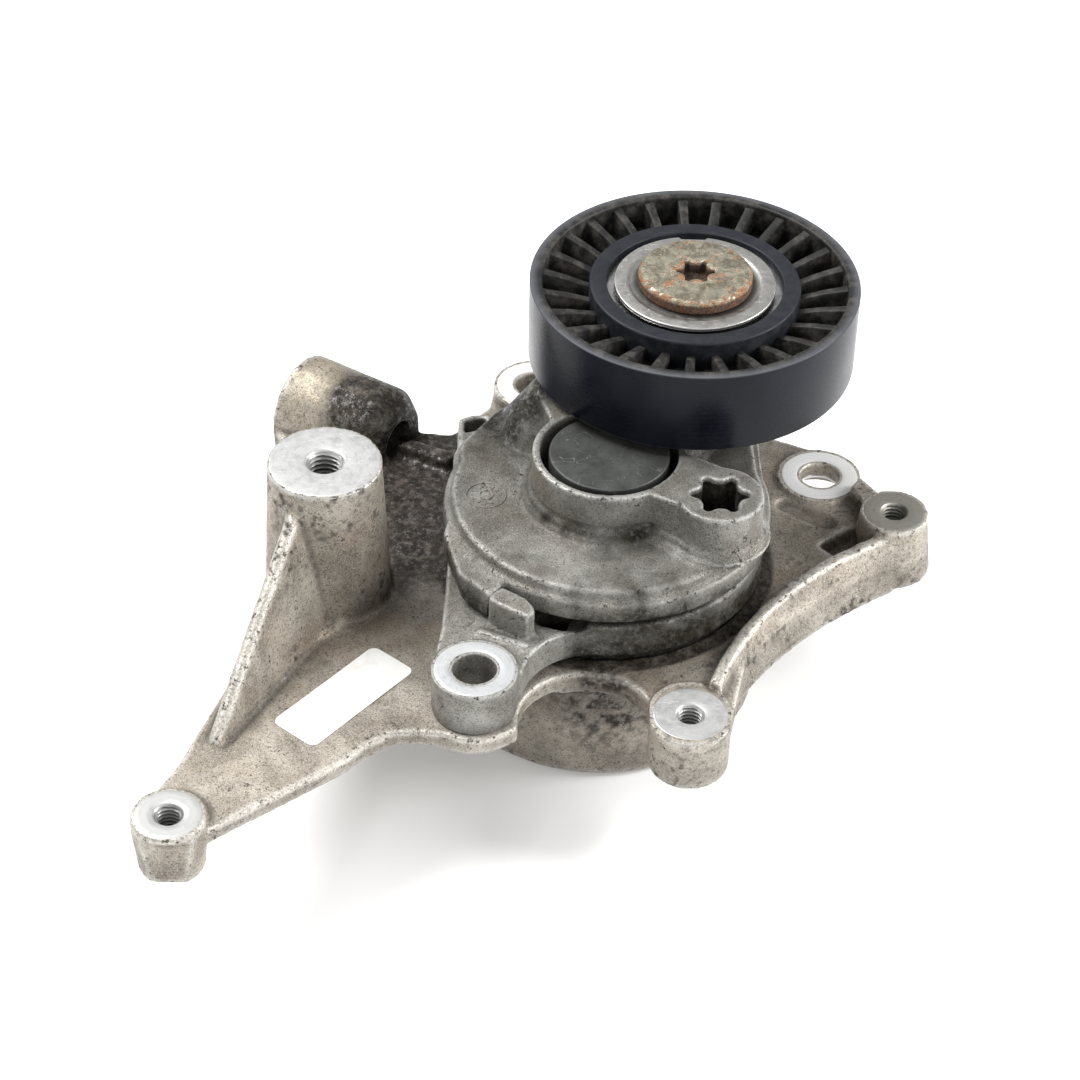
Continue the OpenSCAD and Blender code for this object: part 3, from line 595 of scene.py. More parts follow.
def boss_face(name, centre, r_out, face_z, bore_r, bore_z, material, pitch=0.0, chamfer=0.8,
              sleeve=SLEEVE, segs=96):
    """A machined boss face with its bore, which is threaded when pitch is above 0."""
    deep = THREAD_DEPTH * pitch
    wall = bore_r + deep + sleeve
    face_t, rows_per_turn = 1.0, 10
    step = pitch / rows_per_turn if pitch else 1.5
    top = face_z + 0.03
    levels = np.arange(top - 0.05, bore_z, -step)
    outline = [(r_out + 0.25, top - face_t), (r_out + 0.25, top - 0.4), (r_out + 0.1, top - 0.22),
               (r_out - 0.2, top - 0.03), (r_out - 0.45, top)]
    inner_r = bore_r + deep + chamfer
    outline += [(r_out - 0.5 - (r_out - 0.5 - inner_r) * t, top) for t in (0.3, 0.6, 0.97)]
    first = len(outline)
    outline += [(bore_r, z) for z in levels]
    last = len(outline)
    outline += [(bore_r + 0.1, bore_z), (wall, bore_z), (wall, top - face_t)]

    def shape(k, r, z, theta):
        if not first <= k < last:
            return np.full(len(theta), r)
        cone = inner_r - (top - z)
        if pitch:
            phase = (z / pitch - theta / TAU) % 1.0
            tooth = np.clip(np.abs(phase - 0.5) * 2.6 - 0.3, 0, 1)
            r = bore_r + deep * tooth
        return np.maximum(np.full(len(theta), 1.0) * r, cone)

    v, f = lathe(outline, centre, segs, shape)
    mesh = mesh_from(name, [(v, f)], centre)
    at = np.array(v)
    valley = (np.hypot(at[:, 0] - centre[0], at[:, 1] - centre[1]) - bore_r) / max(deep, 0.1)
    down = np.clip((face_z - at[:, 2]) / 9, 0, 1)
    index = np.arange(len(v))
    inside = (index >= first * segs) & (index < last * segs) & (at[:, 2] < face_z - 0.3)
    # painted shade in the bore: darker in the thread valleys and deeper down
    if pitch:
        dark = np.clip(0.2 + 0.8 * valley, 0, 1) * (0.55 + 0.45 * down) + 0.4 * down
    else:
        dark = 0.12 * down
    store(mesh, "grime", np.where(inside, np.clip(dark, 0, 0.98), 0))
    store(mesh, "edge", np.zeros(len(v)))
    make_object(name, mesh, "bracket", material)


# ---------------------------------------------------------------- key places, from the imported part
def round_part(node):
    """A round part's lowest corner, highest corner and radius in mm."""
    lo, hi = box_mm(node)
    return lo, hi, (hi[0] - lo[0]) / 2


PIVOT = np.zeros(2)
PULLEY_LO, PULLEY_HI, BELT_R = round_part("idler_pulley")
PULLEY = (PULLEY_LO[:2] + PULLEY_HI[:2]) / 2
WASHER_LO, WASHER_HI, WASHER_R = round_part("front_dust_washer")
HEAD_LO, HEAD_HI, HEAD_R = round_part("pulley_bolt")
CAP_LO, CAP_HI, CAP_R = round_part("pivot_cap")
BEARING_LO, BEARING_HI, BEARING_R = round_part("bearing_outer_ring")
# radius of the pulley's smooth ring inside the fins
HUB_R = 24.35
# top of the arm's raised platform, and its wrench socket's centre and reach
PLATFORM_Z, WRENCH, WRENCH_R = CAP_HI[2] + 0.5, (24.4, -14.4), 7.0
TALL, _, TALL_R, TALL_LEN = mount_mm("tall_boss_thread")
LEFT, _, LEFT_R, LEFT_LEN = mount_mm("left_boss_thread")
FRONT, _, FRONT_R, FRONT_LEN = mount_mm("front_boss_thread")
RIGHT, _, RIGHT_R, RIGHT_LEN = mount_mm("right_boss_thread")
SIDE, _, SIDE_R, SIDE_LEN = mount_mm("side_boss_bore")
REAR, _, REAR_R, REAR_LEN = mount_mm("rear_boss_bore")
EAR, _, EAR_R, EAR_LEN = mount_mm("ear_bolt_bore")
LUG, LUG_AXIS, LUG_R, LUG_LEN = mount_mm("lug_bore")
# face heights; the tall boss's bore ends 0.9 below its face
TALL_TOP = TALL[2] + TALL_LEN / 2 + 0.9
LEFT_TOP = LEFT[2] + LEFT_LEN / 2
FRONT_TOP = FRONT[2] + FRONT_LEN / 2
RIGHT_TOP = RIGHT[2] + RIGHT_LEN / 2
SIDE_TOP = SIDE[2] + SIDE_LEN / 2
REAR_TOP = REAR[2] + REAR_LEN / 2
EAR_TOP = EAR[2] + EAR_LEN / 2

# ---------------------------------------------------------------- finishes
bracket_metal = cast_metal("cast_bracket", (0.225, 0.198, 0.162), (0.45, 0.41, 0.35),
                           (0.028, 0.023, 0.018), (0.74, 0.72, 0.67), grain=1.0, warm=(0.34, 0.27, 0.20))
tensioner_metal = cast_metal("cast_tensioner", (0.150, 0.142, 0.123), (0.33, 0.322, 0.296),
                             (0.022, 0.019, 0.014), (0.60, 0.595, 0.57), grain=1.1,
                             warm=(0.17, 0.145, 0.11), depth=0.32)
face_metal = turned_metal("machined_face", (0.56, 0.56, 0.555), (0.38, 0.365, 0.34), 0.35, 0.36, metal=0.75)
# painted shade: a darker copy of the machined face, for the left boss
shaded_face_metal = turned_metal("left_face", (0.45, 0.45, 0.44), (0.34, 0.33, 0.31), 0.3, 0.36, metal=0.75)
# painted light: a lighter copy of the machined face, for the side and rear boss faces
lit_face_metal = turned_metal("side_face", (0.88, 0.88, 0.87), (0.6, 0.58, 0.55), 0.2, 0.42, metal=0.4)
dull_metal = turned_metal("dull_face", (0.42, 0.40, 0.36), (0.18, 0.16, 0.13), 0.5, 0.42)
ear_metal = turned_metal("ear_face", (0.56, 0.57, 0.575), (0.24, 0.235, 0.23), 0.45, 0.38, metal=0.6)
washer_metal = turned_metal("washer", (0.50, 0.495, 0.475), (0.22, 0.18, 0.13), 0.5, 0.32, lines=4)
bolt_metal = rusty_bolt("bolt", HEAD_HI[2], HEAD_R)
pulley_black = pulley_plastic("pulley_plastic", BELT_R, HUB_R)
cap_black = scuffed_plastic("cap", (0.044, 0.046, 0.043), (0.20, 0.20, 0.185), 0.46)
label_white = paper("label")
INNER = {
    "pivot_shaft": plain("shaft_steel", (0.5, 0.5, 0.5), 0.22, 1.0),
    "front_plate": plain("plate_steel", (0.16, 0.16, 0.165), 0.42, 0.9),
    "centre_bolt": plain("bolt_steel", (0.42, 0.39, 0.34), 0.36, 0.95),
    "thrust_washer": plain("thrust_brass", (0.5, 0.4, 0.2), 0.35, 0.95),
    "upper_bush": plain("bush_plastic", (0.05, 0.065, 0.055), 0.5),
    "lower_bush": plain("bush_plastic_2", (0.05, 0.065, 0.055), 0.5),
    "friction_ring": plain("friction_plastic", (0.05, 0.05, 0.045), 0.6),
    "torsion_spring": plain("spring_steel", (0.11, 0.115, 0.12), 0.32, 0.9),
    "rear_dust_washer": plain("washer_steel", (0.55, 0.54, 0.5), 0.34, 0.95),
    "bearing_inner_ring": plain("bearing_steel", (0.6, 0.6, 0.6), 0.18, 1.0, 3.0, 0.01),
    "bearing_outer_ring": plain("bearing_steel_2", (0.6, 0.6, 0.6), 0.18, 1.0, 3.0, 0.01),
    "bearing_balls": plain("bearing_steel_3", (0.65, 0.65, 0.65), 0.08, 1.0, 4.0, 0.003),
    "bearing_cage": plain("cage_brass", (0.52, 0.36, 0.13), 0.32, 0.95),
    "upper_seal": plain("seal_rubber", (0.02, 0.02, 0.022), 0.55),
    "lower_seal": plain("seal_rubber_2", (0.02, 0.02, 0.022), 0.55),
}
for node, material in INNER.items():
    looks = frame["nodes"][node].data.materials
    looks.clear()
    looks.append(material)


# ---------------------------------------------------------------- castings
CUP_MOUTH_R = 39.4


def soft_spot(co, x, y, radius, z=None):
    """Fades from 1 at the place to 0 beyond the radius, in plan only unless a height is given."""
    d = (co[:, 0] - x) ** 2 + (co[:, 1] - y) ** 2
    if z is not None:
        d = d + (co[:, 2] - z) ** 2
    return np.exp(-d / radius ** 2)


def dark_spots_at(co, places):
    """Sum of soft spots, each given as strength, x, y, reach and, where it counts, height."""
    return sum(strength * soft_spot(co, *place) for strength, *place in places)


def bracket_soil_and_shade(co):
    """Oily soiling and painted shade between the tall boss, the lug and the tensioner, painted shadow round
    the cup's mouth, stained patches, and painted shade at the tall boss's foot and below the plate's top.
    """
    lug_end = LUG[:2] - np.array(LUG_AXIS)[:2] * (LUG_LEN / 2 - 2)
    # oily soiling with painted shade between parts, behind the tensioner and beside the drum
    behind_tensioner = ((2.2, -44, 15, 16), (2.0, -50, 33, 14), (2.4, *lug_end, 12))
    beside_drum = ((0.8, -42, -10, 11), (0.6, 0, -39, 10, -2), (0.5, -54, -24, 9, 1))
    spots = dark_spots_at(co, behind_tensioner + beside_drum)
    ring = np.hypot(co[:, 0], co[:, 1])
    # painted shadow: near black in the gap under the case's flange, round the cup's mouth
    mouth = 1.5 * np.clip((CUP_MOUTH_R - ring) / 1.3, 0, 1) * (co[:, 2] > -2.5)
    high = np.clip((co[:, 2] - 12) / 12, 0, 1)
    patches = 0.5 + 0.5 * lattice(co, 7.0, 31)
    small = lattice(co, 1.5, 32) + 0.6 * lattice(co, 0.7, 33)
    from_tall = np.hypot(co[:, 0] - TALL[0], co[:, 1] - TALL[1])
    on_tall = (from_tall < 16) * np.clip((co[:, 2] - 16) / 12, 0, 1)
    on_rib = (co[:, 0] > 12) * (co[:, 2] > -13) * (co[:, 1] < 20) * (ring > 42)
    on_drum = dark_spots_at(co, ((1.5, 2, -37, 13, -13),))
    stained = np.clip(lattice(co, 10.0, 34) * 2 + 0.2, 0, 1) * (co[:, 2] > 1) * (co[:, 0] > -75)
    on_rib = 0.8 * on_rib * np.clip(lattice(co, 8.0, 35) * 2 + 0.5, 0, 1)
    stained = np.maximum(stained, np.maximum(on_tall, on_rib))
    stained = stained * np.clip(1 - 1.6 * lug_painted_sheen(co), 0, 1)
    stains_and_shade = 0.8 * np.clip((small - 0.25) * 2.2, 0, 1) * stained
    stains_and_shade = stains_and_shade + 0.42 * np.clip((small + 0.1) * 2, 0, 1) * on_drum
    # painted shade: darker towards the foot of the tall boss
    foot = (from_tall < 17) * np.clip((20 - co[:, 2]) / 12, 0, 1) * (co[:, 2] > 0.5)
    stains_and_shade = stains_and_shade + 0.3 * foot * patches
    # a slight even darkening, with painted shade in patches below z -6 and below the plate's top
    base = 0.05 + 0.25 * patches * (co[:, 2] < -6) + 0.2 * (co[:, 2] < -0.9) * (co[:, 0] > -82)
    return np.clip((spots * (1 - high) + mouth) * (0.6 + 0.6 * patches) + base + stains_and_shade, 0, 0.96)


def arm_soil_and_shade(co):
    """Darker towards the bottom of the disc's rim, painted shade round the collar's foot, in the wrench
    socket and under the pulley, and soiling in patches on the disc.
    """
    r = np.hypot(co[:, 0], co[:, 1])
    patches = 0.5 + 0.5 * lattice(co, 6.0, 41)
    small = 0.5 + 0.5 * lattice(co, 2.4, 42)
    # darker towards the bottom of the disc's rim and below it
    under = 0.7 * np.clip((17.5 - co[:, 2]) / 4, 0, 1) * (r > 30)
    # painted shade in the crease round the collar's foot
    ring = 0.8 * np.exp(-((r - 18.4) / 1.6) ** 2) * (co[:, 2] < 24)
    # soiling at the rear left and the front of the disc, with painted shade under the pulley
    back = dark_spots_at(co, ((1.9, -21, 27, 12), (0.9, 18, 16, 14), (0.4, 10, -30, 9), (0.25, 6, -34, 20)))
    film = 0.3 * np.clip((small - 0.45) * 3, 0, 1) * (co[:, 2] < 24) * (0.3 + patches)
    from_socket = np.hypot(co[:, 0] - WRENCH[0], co[:, 1] - WRENCH[1])
    # painted shade in the wrench socket
    socket = 0.9 * (from_socket < WRENCH_R) * (co[:, 2] < PLATFORM_Z - 1.2)
    return np.clip((under + ring + back) * (0.35 + 0.9 * patches) + 0.1 * patches + film + socket, 0, 0.95)


def base_soil_and_shade(co):
    """Soiling and painted shade on the case below the arm's disc, with painted shadow near its foot."""
    patches = 0.5 + 0.5 * lattice(co, 5.0, 51)
    ring = np.hypot(co[:, 0], co[:, 1])
    wall = (ring > 20) * np.clip((CUP_MOUTH_R + 0.1 - ring) / 2.5, 0, 1)
    # soiling and painted shade on the case's wall under the disc
    under = (1.0 + 0.5 * np.clip((7 - co[:, 2]) / 4, 0, 1)) * wall * np.clip((12.4 - co[:, 2]) / 1.5, 0, 1)
    # painted shadow in the gap at the case's foot, over the plate
    low = 0.6 * np.clip((4 - co[:, 2]) / 3, 0, 1)
    return np.clip((under + low) * (0.5 + 0.6 * patches) + 0.18 * patches, 0, 0.95)


def lug_painted_sheen(co):
    """Painted sheen: a warm highlight painted on the upper side of the lug's outer end."""
    outer = LUG[:2] + np.array(LUG_AXIS)[:2] * (LUG_LEN / 2 - 9)
    return 0.75 * soft_spot(co, outer[0], outer[1] - 2, 11) * np.clip((co[:, 2] + 1) / 5, 0, 1)


def bore_zone(centre, radius, face, depth=1.1):
    """A boss's machined face, for cast_skin."""
    return (centre[0], centre[1], radius, face - depth, face + 1.5, face)


def slot_end_zone():
    """Where the arm's tang stops against the end of its slot: kept exact, so that the two don't clip."""
    slot_r, angle, reach, low, high, no_face = 33.5, math.radians(36), 3.0, 6.0, 12.0, -99.0
    return (slot_r * math.cos(angle), slot_r * math.sin(angle), reach, low, high, no_face)


def thread_cutter(centre, r, pitch, low, high):
    """Room in the casting for a threaded sleeve, a little smaller than the sleeve itself."""
    return tube_cutter(centre[0], centre[1], r + THREAD_DEPTH * pitch + SLEEVE - 0.17, low, high)


bracket_zones = [bore_zone(TALL, 13.4, TALL_TOP), bore_zone(LEFT, 8.6, LEFT_TOP, 0.8),
                 bore_zone(FRONT, 10.4, FRONT_TOP, 0.8), bore_zone(RIGHT, 8.4, RIGHT_TOP, 0.8),
                 bore_zone(SIDE, 10.5, SIDE_TOP, 0.5), bore_zone(REAR, 10.5, REAR_TOP, 0.8)]
bracket_cuts = [thread_cutter(TALL, TALL_R, M8_PITCH, TALL[2] - TALL_LEN / 2 - 0.3, TALL_TOP + 1)]
bracket_cuts += [thread_cutter(centre, r, M6_PITCH, top - length + 1.5, top + 1)
                 for centre, r, top, length in ((LEFT, LEFT_R, LEFT_TOP, LEFT_LEN),
                                                (FRONT, FRONT_R, FRONT_TOP, FRONT_LEN),
                                                (RIGHT, RIGHT_R, RIGHT_TOP, RIGHT_LEN))]
cast_skin("bracket_casting", 0.55, 7, "bracket", bracket_metal,
          bracket_zones, bracket_cuts, 0.09, bracket_soil_and_shade, lug_painted_sheen)
cast_skin("tensioner_base", 0.42, 6, "bracket", tensioner_metal,
          [bore_zone(EAR, 10.2, EAR_TOP, 0.8), slot_end_zone()], (), 0.06, base_soil_and_shade)
cast_skin("tensioner_arm", 0.38, 7, "arm", tensioner_metal, (), (), 0.05, arm_soil_and_shade)

boss_face("tall_boss_face", TALL, 12.45, TALL_TOP, TALL_R, TALL[2] - TALL_LEN / 2, face_metal,
          pitch=M8_PITCH, chamfer=0.3, segs=128)
boss_face("left_boss_face", LEFT, 7.3, LEFT_TOP, LEFT_R, LEFT_TOP - LEFT_LEN + 1.6, shaded_face_metal,
          pitch=M6_PITCH, chamfer=0.2)
boss_face("front_boss_face", FRONT, 8.3, FRONT_TOP, FRONT_R, FRONT_TOP - FRONT_LEN + 1.6, face_metal,
          pitch=M6_PITCH, chamfer=0.2)
boss_face("right_boss_face", RIGHT, 7.2, RIGHT_TOP, RIGHT_R, RIGHT_TOP - RIGHT_LEN + 1.6, dull_metal,
          pitch=M6_PITCH, chamfer=0.15)
boss_face("side_boss_face", SIDE, 9.2, SIDE_TOP, SIDE_R, SIDE_TOP - SIDE_LEN + 0.3, lit_face_metal,
          chamfer=0.9, sleeve=0.25)
boss_face("rear_boss_face", REAR, 9.3, REAR_TOP, REAR_R, REAR_TOP - REAR_LEN + 0.3, lit_face_metal, sleeve=0.25)
boss_face("ear_face", EAR, 8.95, EAR_TOP, EAR_R, 0.4, ear_metal, chamfer=0.7, sleeve=0.25)


# ---------------------------------------------------------------- idler
FIN_COUNT, FIN_HALF = 27, 1.05
RIM_T, WEB_HALF = 2.8, 1.0


def fin(angle, hub_r, rim_in):
    """One radial fin, lofted through stations that run from inside the hub to inside the rim."""
    z0, z1 = PULLEY_LO[2], PULLEY_HI[2]
    along = np.array((math.cos(angle), math.sin(angle)))
    across = np.array((-math.sin(angle), math.cos(angle)))
    stations = [(hub_r - 0.8, z0 + 4.1, z1 - 4.1, FIN_HALF * 0.92),
                (hub_r + 0.5, z0 + 4.0, z1 - 3.8, FIN_HALF),
                ((hub_r + rim_in) / 2, z0 + 2.6, z1 - 2.3, FIN_HALF),
                (rim_in - 0.8, z0 + 1.5, z1 - 1.3, FIN_HALF * 1.15),
                (rim_in + 0.7, z0 + 1.1, z1 - 0.9, FIN_HALF * 1.5)]
    verts, faces = [], []
    for r, low, high, w in stations:
        ring = []
        for side, level, turn in ((1, low, -1), (1, high, 1), (-1, high, 1), (-1, low, -1)):
            corner = [(side * w, level - turn * 0.5), (side * w * 0.86, level - turn * 0.14),
                      (side * w * 0.5, level)]
            ring += corner if (side > 0) == (turn > 0) else corner[::-1]
        for x, z in ring:
            p = PULLEY + along * r + across * x
            verts.append((p[0], p[1], z))
    size = len(ring)
    for k in range(len(stations) - 1):
        for i in range(size):
            j = (i + 1) % size
            faces.append((k * size + i, (k + 1) * size + i, (k + 1) * size + j, k * size + j))
    faces.append(tuple(range(size)))
    faces.append(tuple(reversed(range((len(stations) - 1) * size, len(stations) * size))))
    return verts, faces


def build_pulley():
    """Rim, hub with its bearing seat, web and fins."""
    z0, z1 = PULLEY_LO[2], PULLEY_HI[2]
    rim_in = BELT_R - RIM_T
    lip = BEARING_R - 0.7
    hub0, hub1 = z0 + 0.5, z1 - 0.5
    rim = [(BELT_R, z0, 0.35), (BELT_R, z1, 0.35), (rim_in - 0.1, z1, 0.8), (rim_in, (z0 + z1) / 2, 0),
           (rim_in - 0.1, z0, 0.8)]
    hub = [(HUB_R, hub0, 0.6), (HUB_R, hub1, 0.7), (lip, hub1, 0.5), (lip, BEARING_HI[2], 0),
           (BEARING_R, BEARING_HI[2], 0), (BEARING_R, BEARING_LO[2], 0), (lip, BEARING_LO[2], 0),
           (lip, hub0, 0.5)]
    web0 = (BEARING_LO[2] + BEARING_HI[2]) / 2 - WEB_HALF
    web1 = web0 + 2 * WEB_HALF
    web = [(HUB_R - 0.4, web0, 0), (rim_in + 0.3, web0, 0), (rim_in + 0.3, web1, 0), (HUB_R - 0.4, web1, 0)]
    parts = [lathe(fillet(rim, 5), PULLEY, 216), lathe(fillet(hub, 4), PULLEY, 180),
             lathe(fillet(web), PULLEY, 144)]
    parts += [fin(TAU * n / FIN_COUNT, HUB_R, rim_in) for n in range(FIN_COUNT)]
    mesh = mesh_from("pulley", parts, PULLEY)
    heights = places_mm(mesh)[:, 2]
    # mask of the rim's lips, lightened there as wear with a painted highlight
    near_lip = np.minimum(np.abs(heights - z1), np.abs(heights - z0))
    store(mesh, "edge", np.clip(1 - near_lip / 0.3, 0, 1) * (stored(mesh, "rad") > BELT_R - 0.6))
    pulley = make_object("pulley_body", mesh, "pulley", pulley_black, 32)
    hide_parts("idler_pulley")


def washer_shape(k, r, z, theta):
    """Round, with a small flat cut into the rim on the far side."""
    depth, half_angle, no_cut = 1.3, 0.17, 99.0
    off = np.abs((theta - math.pi / 2 + math.pi) % TAU - math.pi)
    flat = (WASHER_R - depth) / np.cos(np.minimum(off, 0.6))
    return np.minimum(np.full(len(theta), r), np.where(off < half_angle, flat, no_cut))


def build_washer():
    """Dished washer with a raised rim, and a painted shadow line where the bolt head sits on it."""
    top, seat = WASHER_HI[2], WASHER_LO[2]
    outline = [(5.3, seat, 0), (13.0, seat, 0.2), (13.5, top - 1.0, 0.3), (WASHER_R, top - 1.0, 0.3),
               (WASHER_R, top - 0.05, 0.35), (15.6, top, 0.4), (14.9, top - 0.3, 0.3),
               (14.1, top - 0.35, 0.3), (13.2, top - 0.2, 0), (5.3, top - 0.2, 0)]
    mesh = mesh_from("dust_washer", [lathe(fillet(outline), PULLEY, 240, washer_shape)], PULLEY)
    # painted shadow: a dark line round the bolt head's foot
    store(mesh, "grime", 0.9 * np.exp(-((stored(mesh, "rad") - HEAD_R - 0.3) / 0.9) ** 2))
    washer = make_object("dust_washer", mesh, "arm", washer_metal, 30)
    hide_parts("front_dust_washer")


SOCKET = 8.8


def bolt_shape(k, r, z, theta):
    """Six-lobe recess on rows 1 to 4, round from there on."""
    if 1 <= k <= 4:
        return lobe_radius(theta, SOCKET) + r - SOCKET / 2
    return np.full(len(theta), r)


def build_bolt():
    """Low round head with its recess, and a plain shank."""
    top, low, tip, shank_r = HEAD_HI[2], WASHER_HI[2] - 0.2, HEAD_LO[2], 5.0
    rows = [(0, top - 3.3), (SOCKET / 2, top - 2.8), (SOCKET / 2, top - 0.35),
            (SOCKET / 2 + 0.12, top - 0.12), (SOCKET / 2 + 0.4, top - 0.02), (5.6, top),
            (8.0, top - 0.03), (10.4, top - 0.02), (HEAD_R - 1.05, top),
            (HEAD_R - 0.75, top - 0.08), (HEAD_R - 0.2, top - 0.65),
            (HEAD_R - 0.03, top - 0.95), (HEAD_R, top - 1.3), (HEAD_R, low + 0.3),
            (HEAD_R - 0.3, low), (shank_r, low), (shank_r, tip + 0.8), (shank_r - 0.8, tip), (0, tip)]
    mesh = mesh_from("idler_bolt", [lathe(rows, PULLEY, 240, bolt_shape)], PULLEY)
    bolt = make_object("idler_bolt", mesh, "arm", bolt_metal, 40)
    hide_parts("pulley_bolt")


def build_cap():
    """Pressed cap inside the arm's collar."""
    top, low, wall, plate = CAP_HI[2], CAP_LO[2], 0.45, 1.6
    outline = [(0, top - 0.12, 0), (9.0, top - 0.1, 0), (12.4, top, 0.5), (CAP_R, top, 0.5),
               (CAP_R, low, 0.2), (CAP_R - wall, low, 0.1), (CAP_R - wall, top - plate, 0),
               (0, top - plate, 0)]
    mesh = mesh_from("pivot_cap_cover", [lathe(fillet(outline, 5), PIVOT, 160)], PIVOT)
    cap = make_object("pivot_cap_cover", mesh, "bracket", cap_black, 40)
    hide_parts("pivot_cap")


build_pulley()
build_washer()
build_bolt()
build_cap()


# ---------------------------------------------------------------- lug bore, label and small cast marks
def along_axis(part, centre, axis):
    """Turns a shape made about +Z at the origin onto another axis."""
    turn = Vector((0, 0, 1)).rotation_difference(axis).to_matrix()
    verts = [tuple(turn @ Vector(v) + Vector(centre)) for v in part[0]]
    return verts, part[1]


def build_lug_sleeve():
    """Machined surface of the cross-drilled hole."""
    half = LUG_LEN / 2
    outline = [(LUG_R, 0.5 - half, 0.3), (LUG_R + 0.6, 0.1 - half, 0), (LUG_R + 0.6, half - 0.1, 0),
               (LUG_R, half - 0.5, 0.3)]
    part = lathe(fillet(outline), (0, 0), 96)
    rad = np.full(len(part[0]), LUG_R)
    mesh = mesh_from("lug_sleeve", [along_axis(part, LUG, LUG_AXIS)], rad=rad)
    make_object("lug_sleeve", mesh, "bracket", ear_metal)


def label_part():
    """Thin film with rounded corners, lying on the plate and lifting slightly at one corner."""
    cad = frame["nodes"]["blank_label"].data
    co = np.array([v.co for v in cad.vertices]) / MM
    low = co[co[:, 2] < co[:, 2].mean()][:, :2]
    centre = (low.max(0) + low.min(0)) / 2
    spread = np.linalg.eigh(np.cov((low - centre).T))[1][:, 1]
    spread = spread if spread[0] > 0 else -spread
    across = np.array((-spread[1], spread[0]))
    half = np.abs((low - centre) @ spread).max(), np.abs((low - centre) @ across).max()
    corner, arc, ring = 1.8, 8, []
    for sx, sy, start in ((1, 1, 0), (-1, 1, 90), (-1, -1, 180), (1, -1, 270)):
        for k in range(arc + 1):
            a = math.radians(start + 90 * k / arc)
            ring.append((sx * (half[0] - corner) + corner * math.cos(a),
                         sy * (half[1] - corner) + corner * math.sin(a)))
    dense = []
    for (x0, y0), (x1, y1) in zip(ring, ring[1:] + ring[:1]):
        n = max(1, int(math.hypot(x1 - x0, y1 - y0) / 0.8))
        dense += [(x0 + (x1 - x0) * k / n, y0 + (y1 - y0) * k / n) for k in range(n)]
    dense = np.array(dense)
    verts, rows = [], []
    for level, shares in (("top", np.linspace(0.08, 1, 13)), ("bottom", [1.0, 0.5])):
        for share in shares:
            flat = centre + (dense * share) @ np.array((spread, across))
            co3 = np.c_[flat, np.zeros(len(flat))]
            z = 0.1 + 0.05 * lattice(co3, 5.0, 61) + 0.03 * lattice(co3, 2.0, 62)
            z = z + 0.10 * share ** 8
            if level == "bottom":
                z = z - 0.16
            rows.append(list(range(len(verts), len(verts) + len(flat))))
            verts += list(map(tuple, np.c_[flat, z]))
    faces = [tuple(rows[0])]
    for a, b in zip(rows, rows[1:]):
        n = len(a)
        faces += [(a[i], b[i], b[(i + 1) % n], a[(i + 1) % n]) for i in range(n)]
    faces.append(tuple(reversed(rows[-1])))
    return verts, faces


def build_label():
    mesh = mesh_from("label_film", [label_part()])
    label = make_object("label_film", mesh, "bracket", label_white, 60)
    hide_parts("blank_label")


def raised_ring(centre, r, width, z, height, segs=64):
    outline = [(r - width, z - 0.3, 0), (r + width, z - 0.3, 0), (r + width, z + height, width * 0.8),
               (r - width, z + height, width * 0.8)]
    return lathe(fillet(outline, 3), centre, segs)


def tick(centre, angle, r0, r1, width, z, height):
    """Low raised bar with a bevelled top, pointing away from the centre."""
    along = np.array((math.cos(angle), math.sin(angle)))
    across = np.array((-math.sin(angle), math.cos(angle)))
    verts = []
    for level, w in ((z - 0.3, width), (z + height * 0.6, width), (z + height, width * 0.5)):
        for r, side in ((r0, -1), (r1, -1), (r1, 1), (r0, 1)):
            p = np.array(centre) + along * r + across * side * w
            verts.append((p[0], p[1], level))
    faces = [(3, 2, 1, 0), (8, 9, 10, 11)]
    for k in (0, 4):
        faces += [(k + i, k + (i + 1) % 4, k + 4 + (i + 1) % 4, k + 4 + i) for i in range(4)]
    return verts, faces


def build_marks(name, parts, body, edge, grime):
    """Small raised marks on a casting, in the casting's own metal."""
    mesh = mesh_from(name, parts)
    store(mesh, "edge", np.full(len(mesh.vertices), edge))
    store(mesh, "grime", np.full(len(mesh.vertices), grime))
    make_object(name, mesh, body, tensioner_metal)


def arm_marks():
    """Plain dial and two ejector rings on the arm's disc."""
    disc_top, dial = 20.0, (-27.6, -2.6)
    parts = [raised_ring(dial, 4.5, 0.22, disc_top, 0.22), raised_ring(dial, 1.5, 0.2, disc_top, 0.2)]
    parts += [tick(dial, TAU * k / 12, 2.5, 3.4, 0.16, disc_top, 0.2) for k in range(12)]
    parts += [raised_ring(place, 2.6, 0.12, disc_top, 0.1) for place in ((8.5, -25.5), (-20.5, 18.5))]
    return parts


def base_marks():
    """Ejector ring on the web between the ear and the case."""
    web_top = 9.8
    return [raised_ring((-32.0, -33.4), 2.8, 0.14, web_top, 0.1)]


build_lug_sleeve()
build_label()
build_marks("arm_marks", arm_marks(), "arm", 0.16, 0.1)
build_marks("base_marks", base_marks(), "bracket", 0.1, 0.3)


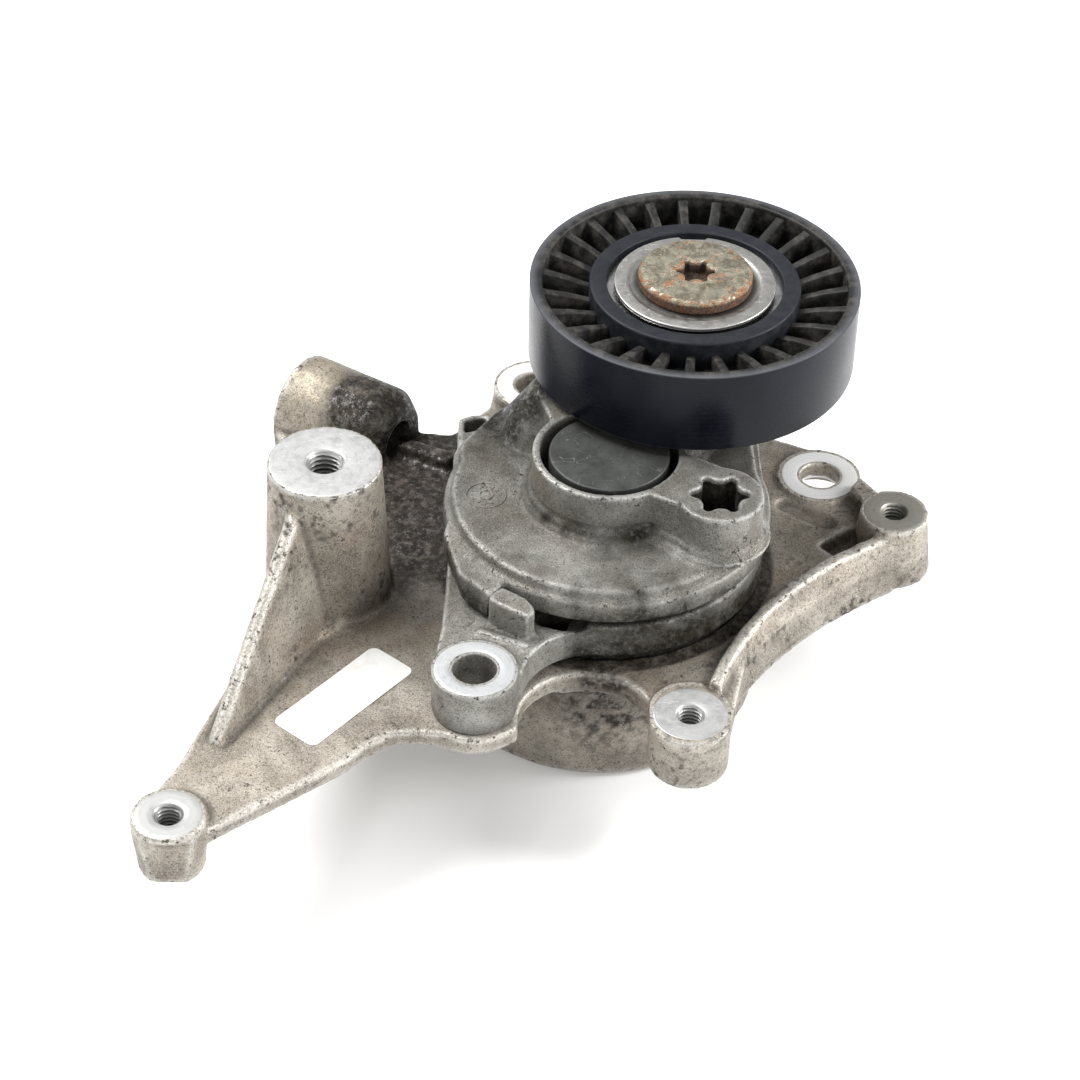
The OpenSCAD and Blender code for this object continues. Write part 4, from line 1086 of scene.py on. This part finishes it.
# ---------------------------------------------------------------- floor, light and camera
def stage_floor():
    """White floor just below the part."""
    gap, size = 0.0003, 6.0
    level = CAD_BOX[0].z - gap
    mesh = bpy.data.meshes.new("floor")
    corners = [(x, y, level) for x, y in ((-size, -size), (size, -size), (size, size), (-size, size))]
    mesh.from_pydata(corners, [], [(0, 1, 2, 3)])
    obj = bpy.data.objects.new("floor", mesh)
    scene.collection.objects.link(obj)
    s = Shader("floor")
    cloud = s.noise(0.004, 3, 0.5)
    color = s.mix(s.rise(cloud, 0.3, 0.7), (0.92, 0.92, 0.92), (0.95, 0.95, 0.95))
    grain = s.noise(0.3, 3, 0.5, seed=3)
    mesh.materials.append(s.finish(color, 0.7, 0.0, s.bump(grain, 0.05), Emission_Color=(1, 1, 1),
                                   Emission_Strength=0.1))


def area_light(name, place, target, size, power, color=(1, 1, 1)):
    data = bpy.data.lights.new(name, "AREA")
    data.shape, data.size, data.size_y, data.energy, data.color = "RECTANGLE", size[0], size[1], power, color
    obj = bpy.data.objects.new(name, data)
    obj.location = place
    obj.rotation_mode = "QUATERNION"
    obj.rotation_quaternion = (Vector(target) - Vector(place)).to_track_quat("-Z", "Y")
    scene.collection.objects.link(obj)


def set_world(strength):
    world = bpy.data.worlds.new("studio")
    scene.world = world
    world.use_nodes = True
    background = world.node_tree.nodes["Background"]
    background.inputs[0].default_value = (1.0, 1.0, 1.0, 1)
    background.inputs[1].default_value = strength


def set_camera(place, elevation_deg, roll_deg, lens_mm, sensor_mm=36):
    """Camera facing +Y and down by the elevation, turned slightly about its own axis."""
    data = bpy.data.cameras.new("camera")
    camera = bpy.data.objects.new("camera", data)
    scene.collection.objects.link(camera)
    data.sensor_width, data.lens = sensor_mm, lens_mm
    data.clip_start, data.clip_end = 0.01, 30
    elevation, roll = math.radians(elevation_deg), math.radians(roll_deg)
    aim = Vector((0, math.cos(elevation), -math.sin(elevation)))
    camera.rotation_mode = "QUATERNION"
    camera.rotation_quaternion = aim.to_track_quat("-Z", "Y") @ Matrix.Rotation(roll, 3, "Z").to_quaternion()
    camera.location = place
    scene.camera = camera


stage_floor()
area_light("key", (-0.5, 0.22, 0.8), (0, 0, 0), (0.6, 0.45), 11.6)
area_light("front", (0.25, -0.9, 0.4), (0, 0, 0), (0.8, 0.35), 2.5)
area_light("right", (0.85, 0.0, 0.45), (0, 0, 0), (0.35, 0.6), 10.5)
set_world(0.52)
set_camera((-0.0151, -0.5146, 0.4303), 39.565, 1.449, 96.67)
scene.view_settings.view_transform = "Standard"
